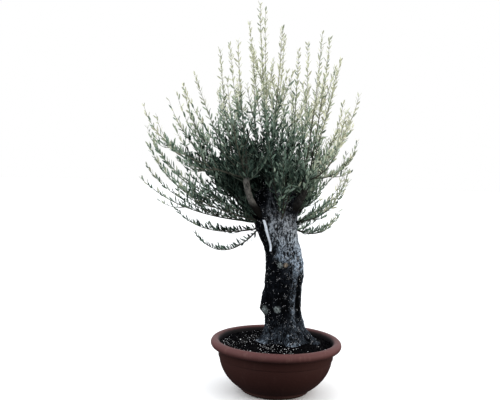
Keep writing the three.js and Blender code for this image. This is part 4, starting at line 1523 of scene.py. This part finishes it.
def leaves_on(line, leaves_from, spacing):
    """The roots and directions of the leaves along one shoot, its own direction there, and their sizes."""
    pairs = max(2, round(line.length() * (1 - leaves_from) / spacing))
    t = np.linspace(leaves_from, LAST_PAIR, pairs)
    t = np.clip(t + draw.normal(0, PLACE_CHANCE / pairs, pairs), 0, 0.99)
    along, side, across = line.frame(t)
    turn = PAIR_TURN * np.arange(pairs) + FIRST_TURN + draw.normal(0, TURN_CHANCE, pairs)
    away = np.cos(turn)[:, None] * side + np.sin(turn)[:, None] * across
    closing = np.clip((t - CLOSING_FROM) / (1 - CLOSING_FROM), 0, 1)
    usual_lean = LEAF_ANGLE * lerp(OLD_OPENING, TIP_CLOSING, closing)
    usual_size = lerp(1, TIP_LEAF, np.clip((t - SMALLER_FROM) / (1 - SMALLER_FROM), 0, 1))
    ways, sizes = [], []
    for sign in (1, -1):
        lean = (usual_lean * draw.normal(1, ANGLE_CHANCE, pairs))[:, None]
        way = np.cos(lean) * along + np.sin(lean) * sign * away
        way = way + LIGHT_TURN * (1 - along[:, 2:] ** 2) * UP
        ways.append(way / np.linalg.norm(way, axis=1, keepdims=True))
        sizes.append(usual_size * np.clip(draw.normal(1, SIZE_CHANCE, pairs), 0.6, 1.3))
    roots = line.at(t)
    return np.vstack([roots, roots]), np.vstack(ways), np.vstack([along, along]), np.concatenate(sizes)


print("leaf pairs on a metre of shoot:", round(1 / LEAF_SPACING))

# %% Set the leaves on the shoots
LEAF_WIDTH = 8.6 * MM
LEAF_GAP = 2 * MM
ROLL_CHANCE = 0.7
# A direction to measure from where a leaf lies along its stem
SPARE_WAY = (0.3, 0.8, 0.52)
# The share of leaves that has dropped on the far left, and where
SPARSE_LEFT = 0.35
SPARSE_BEYOND = (360 * MM, 500 * MM)
SPARSE_ABOVE = (1080 * MM, 1200 * MM)


def leaf_frames(ways, stems, sizes):
    """The frame of each leaf: its upper side faces its stem's tip, turned a little by chance."""
    across = np.cross(ways, stems)
    loose = np.linalg.norm(across, axis=1) < 0.05
    across[loose] = np.cross(ways[loose], SPARE_WAY)
    across /= np.linalg.norm(across, axis=1, keepdims=True)
    upper = np.cross(ways, across)
    roll = draw.normal(0, ROLL_CHANCE, len(ways))[:, None]
    wide = np.cos(roll) * across + np.sin(roll) * upper
    upper = np.cross(ways, wide)
    long = (LEAF_LENGTH * sizes)[:, None]
    broad = (LEAF_WIDTH * np.sqrt(sizes))[:, None]
    return np.stack([ways * long, wide * broad, upper * broad], 1)


parts = zip(*(leaves_on(line, leaves_from, spacing) for line, _, leaves_from, spacing in shoots))
roots, ways, stems, sizes = (np.concatenate(part) for part in parts)
tips = roots + ways * (LEAF_LENGTH * sizes)[:, None]
sparse = SPARSE_LEFT * ramp(-roots[:, 0], *SPARSE_BEYOND) * ramp(roots[:, 2], *SPARSE_ABOVE)
clear = off_limbs(tips, LEAF_GAP) & (draw.random(len(roots)) > sparse)
roots, ways, stems, sizes = roots[clear], ways[clear], stems[clear], sizes[clear]
frames = leaf_frames(ways, stems, sizes)
print("leaves:", len(roots))

# %% [markdown]
# Old leaves deep in the crown are a dark green, those further out and up are greyer, and the young ones at
# the top and at the outer tips are pale, almost cream, most of all on the right. Much of this is painted
# light and shade: the dark green deep in the crown is painted shade, and the pale tints at the top, the
# outer tips and the right, towards the right lamp, are painted light. One material could fade from one to
# the other, but real leaves differ one by one. So plain tints are dealt out by spray, a hand's breadth of
# shoot at a time, and chance mixes neighbours, so that no border shows.

# %% Deal out the tints
TINTS = {
    "deep_green": ((0.010, 0.022, 0.016, 1), (0.038, 0.064, 0.050, 1)),
    "olive_green": ((0.078, 0.127, 0.096, 1), (0.168, 0.238, 0.190, 1)),
    "grey_green": ((0.135, 0.200, 0.152, 1), (0.240, 0.322, 0.260, 1)),
    "silver_green": ((0.205, 0.275, 0.204, 1), (0.335, 0.408, 0.322, 1)),
    "pale_green": ((0.380, 0.436, 0.318, 1), (0.500, 0.545, 0.425, 1)),
    "cream_green": ((0.600, 0.625, 0.470, 1), (0.690, 0.705, 0.560, 1)),
}
# Where the painted shade deep in the crown gives way to painted light up, out and most of all on the right
DARK_CORE = -90 * MM
DARK_BELOW = 1095 * MM
PALE_ABOVE = 1410 * MM
DARK_WITHIN = 110 * MM
PALE_BEYOND = 540 * MM
PAINTED_RIGHT_LIGHT = 1.65
SPRAY_SIZE = 110 * MM
# How much the tint changes from spray to spray and from leaf to leaf, and the most that a leaf's may
SPRAY_CHANCE = 0.24
TINT_CHANCE = 0.17
MOST_CHANCE = 0.32


def tone_with_painted_light(points):
    """Leaf paleness: 0 for painted shade deep in the crown, 1 for painted light at its top and outer tips.
    """
    up = np.clip((points[:, 2] - DARK_BELOW) / (PALE_ABOVE - DARK_BELOW), 0, 1)
    sideways = points[:, 0] - DARK_CORE
    out = np.hypot(np.where(sideways > 0, PAINTED_RIGHT_LIGHT, 1) * sideways, 0.6 * points[:, 1])
    out = np.clip((out - DARK_WITHIN) / (PALE_BEYOND - DARK_WITHIN), 0, 1)
    return np.clip(up + 0.75 * out * (1 - 0.5 * up), 0, 1)


sprays = np.floor(roots / SPRAY_SIZE).astype(int)
spray_chance = np.sin(sprays @ HASH) * HASH_SCALE
spray_chance = spray_chance - np.floor(spray_chance)
pick = tone_with_painted_light(roots) + SPRAY_CHANCE * (spray_chance - 0.5)
pick = pick + np.clip(draw.normal(0, TINT_CHANCE, len(roots)), -MOST_CHANCE, MOST_CHANCE)
tint_of = np.clip(np.floor(pick * len(TINTS)), 0, len(TINTS) - 1).astype(int)
for number, (tint, (upper_colour, under_colour)) in enumerate(TINTS.items()):
    dealt = tint_of == number
    leaves = joined("leaves_" + tint, *copies(leaf_corners, leaf_triangles, frames[dealt], roots[dealt]))
    upper_finish, field = new_finish(tint + "_upper_side")
    give(field, {"Base Color": upper_colour, "Roughness": 0.5, "Specular IOR Level": 0.12})
    under_finish, field = new_finish(tint + "_under_side")
    give(field, {"Base Color": under_colour, "Roughness": 0.75, "Specular IOR Level": 0.08})
    dress(leaves, upper_finish, "leaf", *mass_nodes)
    leaves.data.materials.append(under_finish)
    below = np.tile(np.arange(len(leaf_triangles)) >= len(leaf_triangles) // 2, dealt.sum())
    leaves.data.polygons.foreach_set("material_index", below.astype(np.int32))
    print(tint, dealt.sum(), "leaves", len(leaves.data.polygons), "triangles")

# %% [markdown]
# ## Label
# A white plastic strip hangs on the bark under the left bough, and it is left bare. It could stay as the
# solid, but the bark's relief would poke through it. So a thin cube is cut along its length, its edges are
# bevelled, and it is laid over the plates, a little proud of them, with its ends curling out.

# %% Lay the label on the bark
LABEL_WIDTH = 14.5 * MM
LABEL_THICK = 0.9 * MM
LABEL_TOP = (236, 792 * MM)
LABEL_FOOT = (226, 650 * MM)
LABEL_BEND = 9
LABEL_LIFT = 5.5 * MM
LABEL_CURL = 2.5 * MM
LABEL_CUTS = 15
WHITE_PLASTIC = (0.76, 0.83, 0.92, 1)
GRIMY_PLASTIC = (0.49, 0.54, 0.61, 1)
label_shape = bmesh.new()
bmesh.ops.create_cube(label_shape, size=1)
bmesh.ops.bevel(
    label_shape,
    geom=[edge for edge in label_shape.edges if abs(edge.verts[0].co.y - edge.verts[1].co.y) > 0.5],
    offset=0.06,
    offset_type="OFFSET",
    segments=3,
    profile=0.5,
    affect="EDGES",
    material=-1,
)
lengthways = [edge for edge in label_shape.edges if abs(edge.verts[0].co.z - edge.verts[1].co.z) > 0.5]
bmesh.ops.subdivide_edges(label_shape, edges=lengthways, cuts=LABEL_CUTS, use_grid_fill=True)
label = object_of("bare_label", label_shape)
unit = corners_of(label)
share = unit[:, 2] + 0.5
height = lerp(LABEL_FOOT[1], LABEL_TOP[1], share)
middle = np.radians(lerp(LABEL_FOOT[0], LABEL_TOP[0], share) + 4 * LABEL_BEND * share * (1 - share))
half_turn = math.asin(LABEL_WIDTH / 2 / HEAD_RADIUS)
lift = LABEL_LIFT + LABEL_CURL * (2 * share - 1) ** 4 + LABEL_THICK * (0.5 - unit[:, 1])
move_corners(label, trunk_point(middle + 2 * half_turn * unit[:, 0], height, lift))
label_finish, field = new_finish("white_label_plastic")
grime = field.cloud(14 * MM, 3).step(0.45, 0.8)
give(
    field,
    {
        "Base Color": grime.blend(WHITE_PLASTIC, GRIMY_PLASTIC),
        "Roughness": 0.35 + 0.3 * grime,
    },
)
dress(label, label_finish, "label", "label")
print("label faces:", len(label.data.polygons))
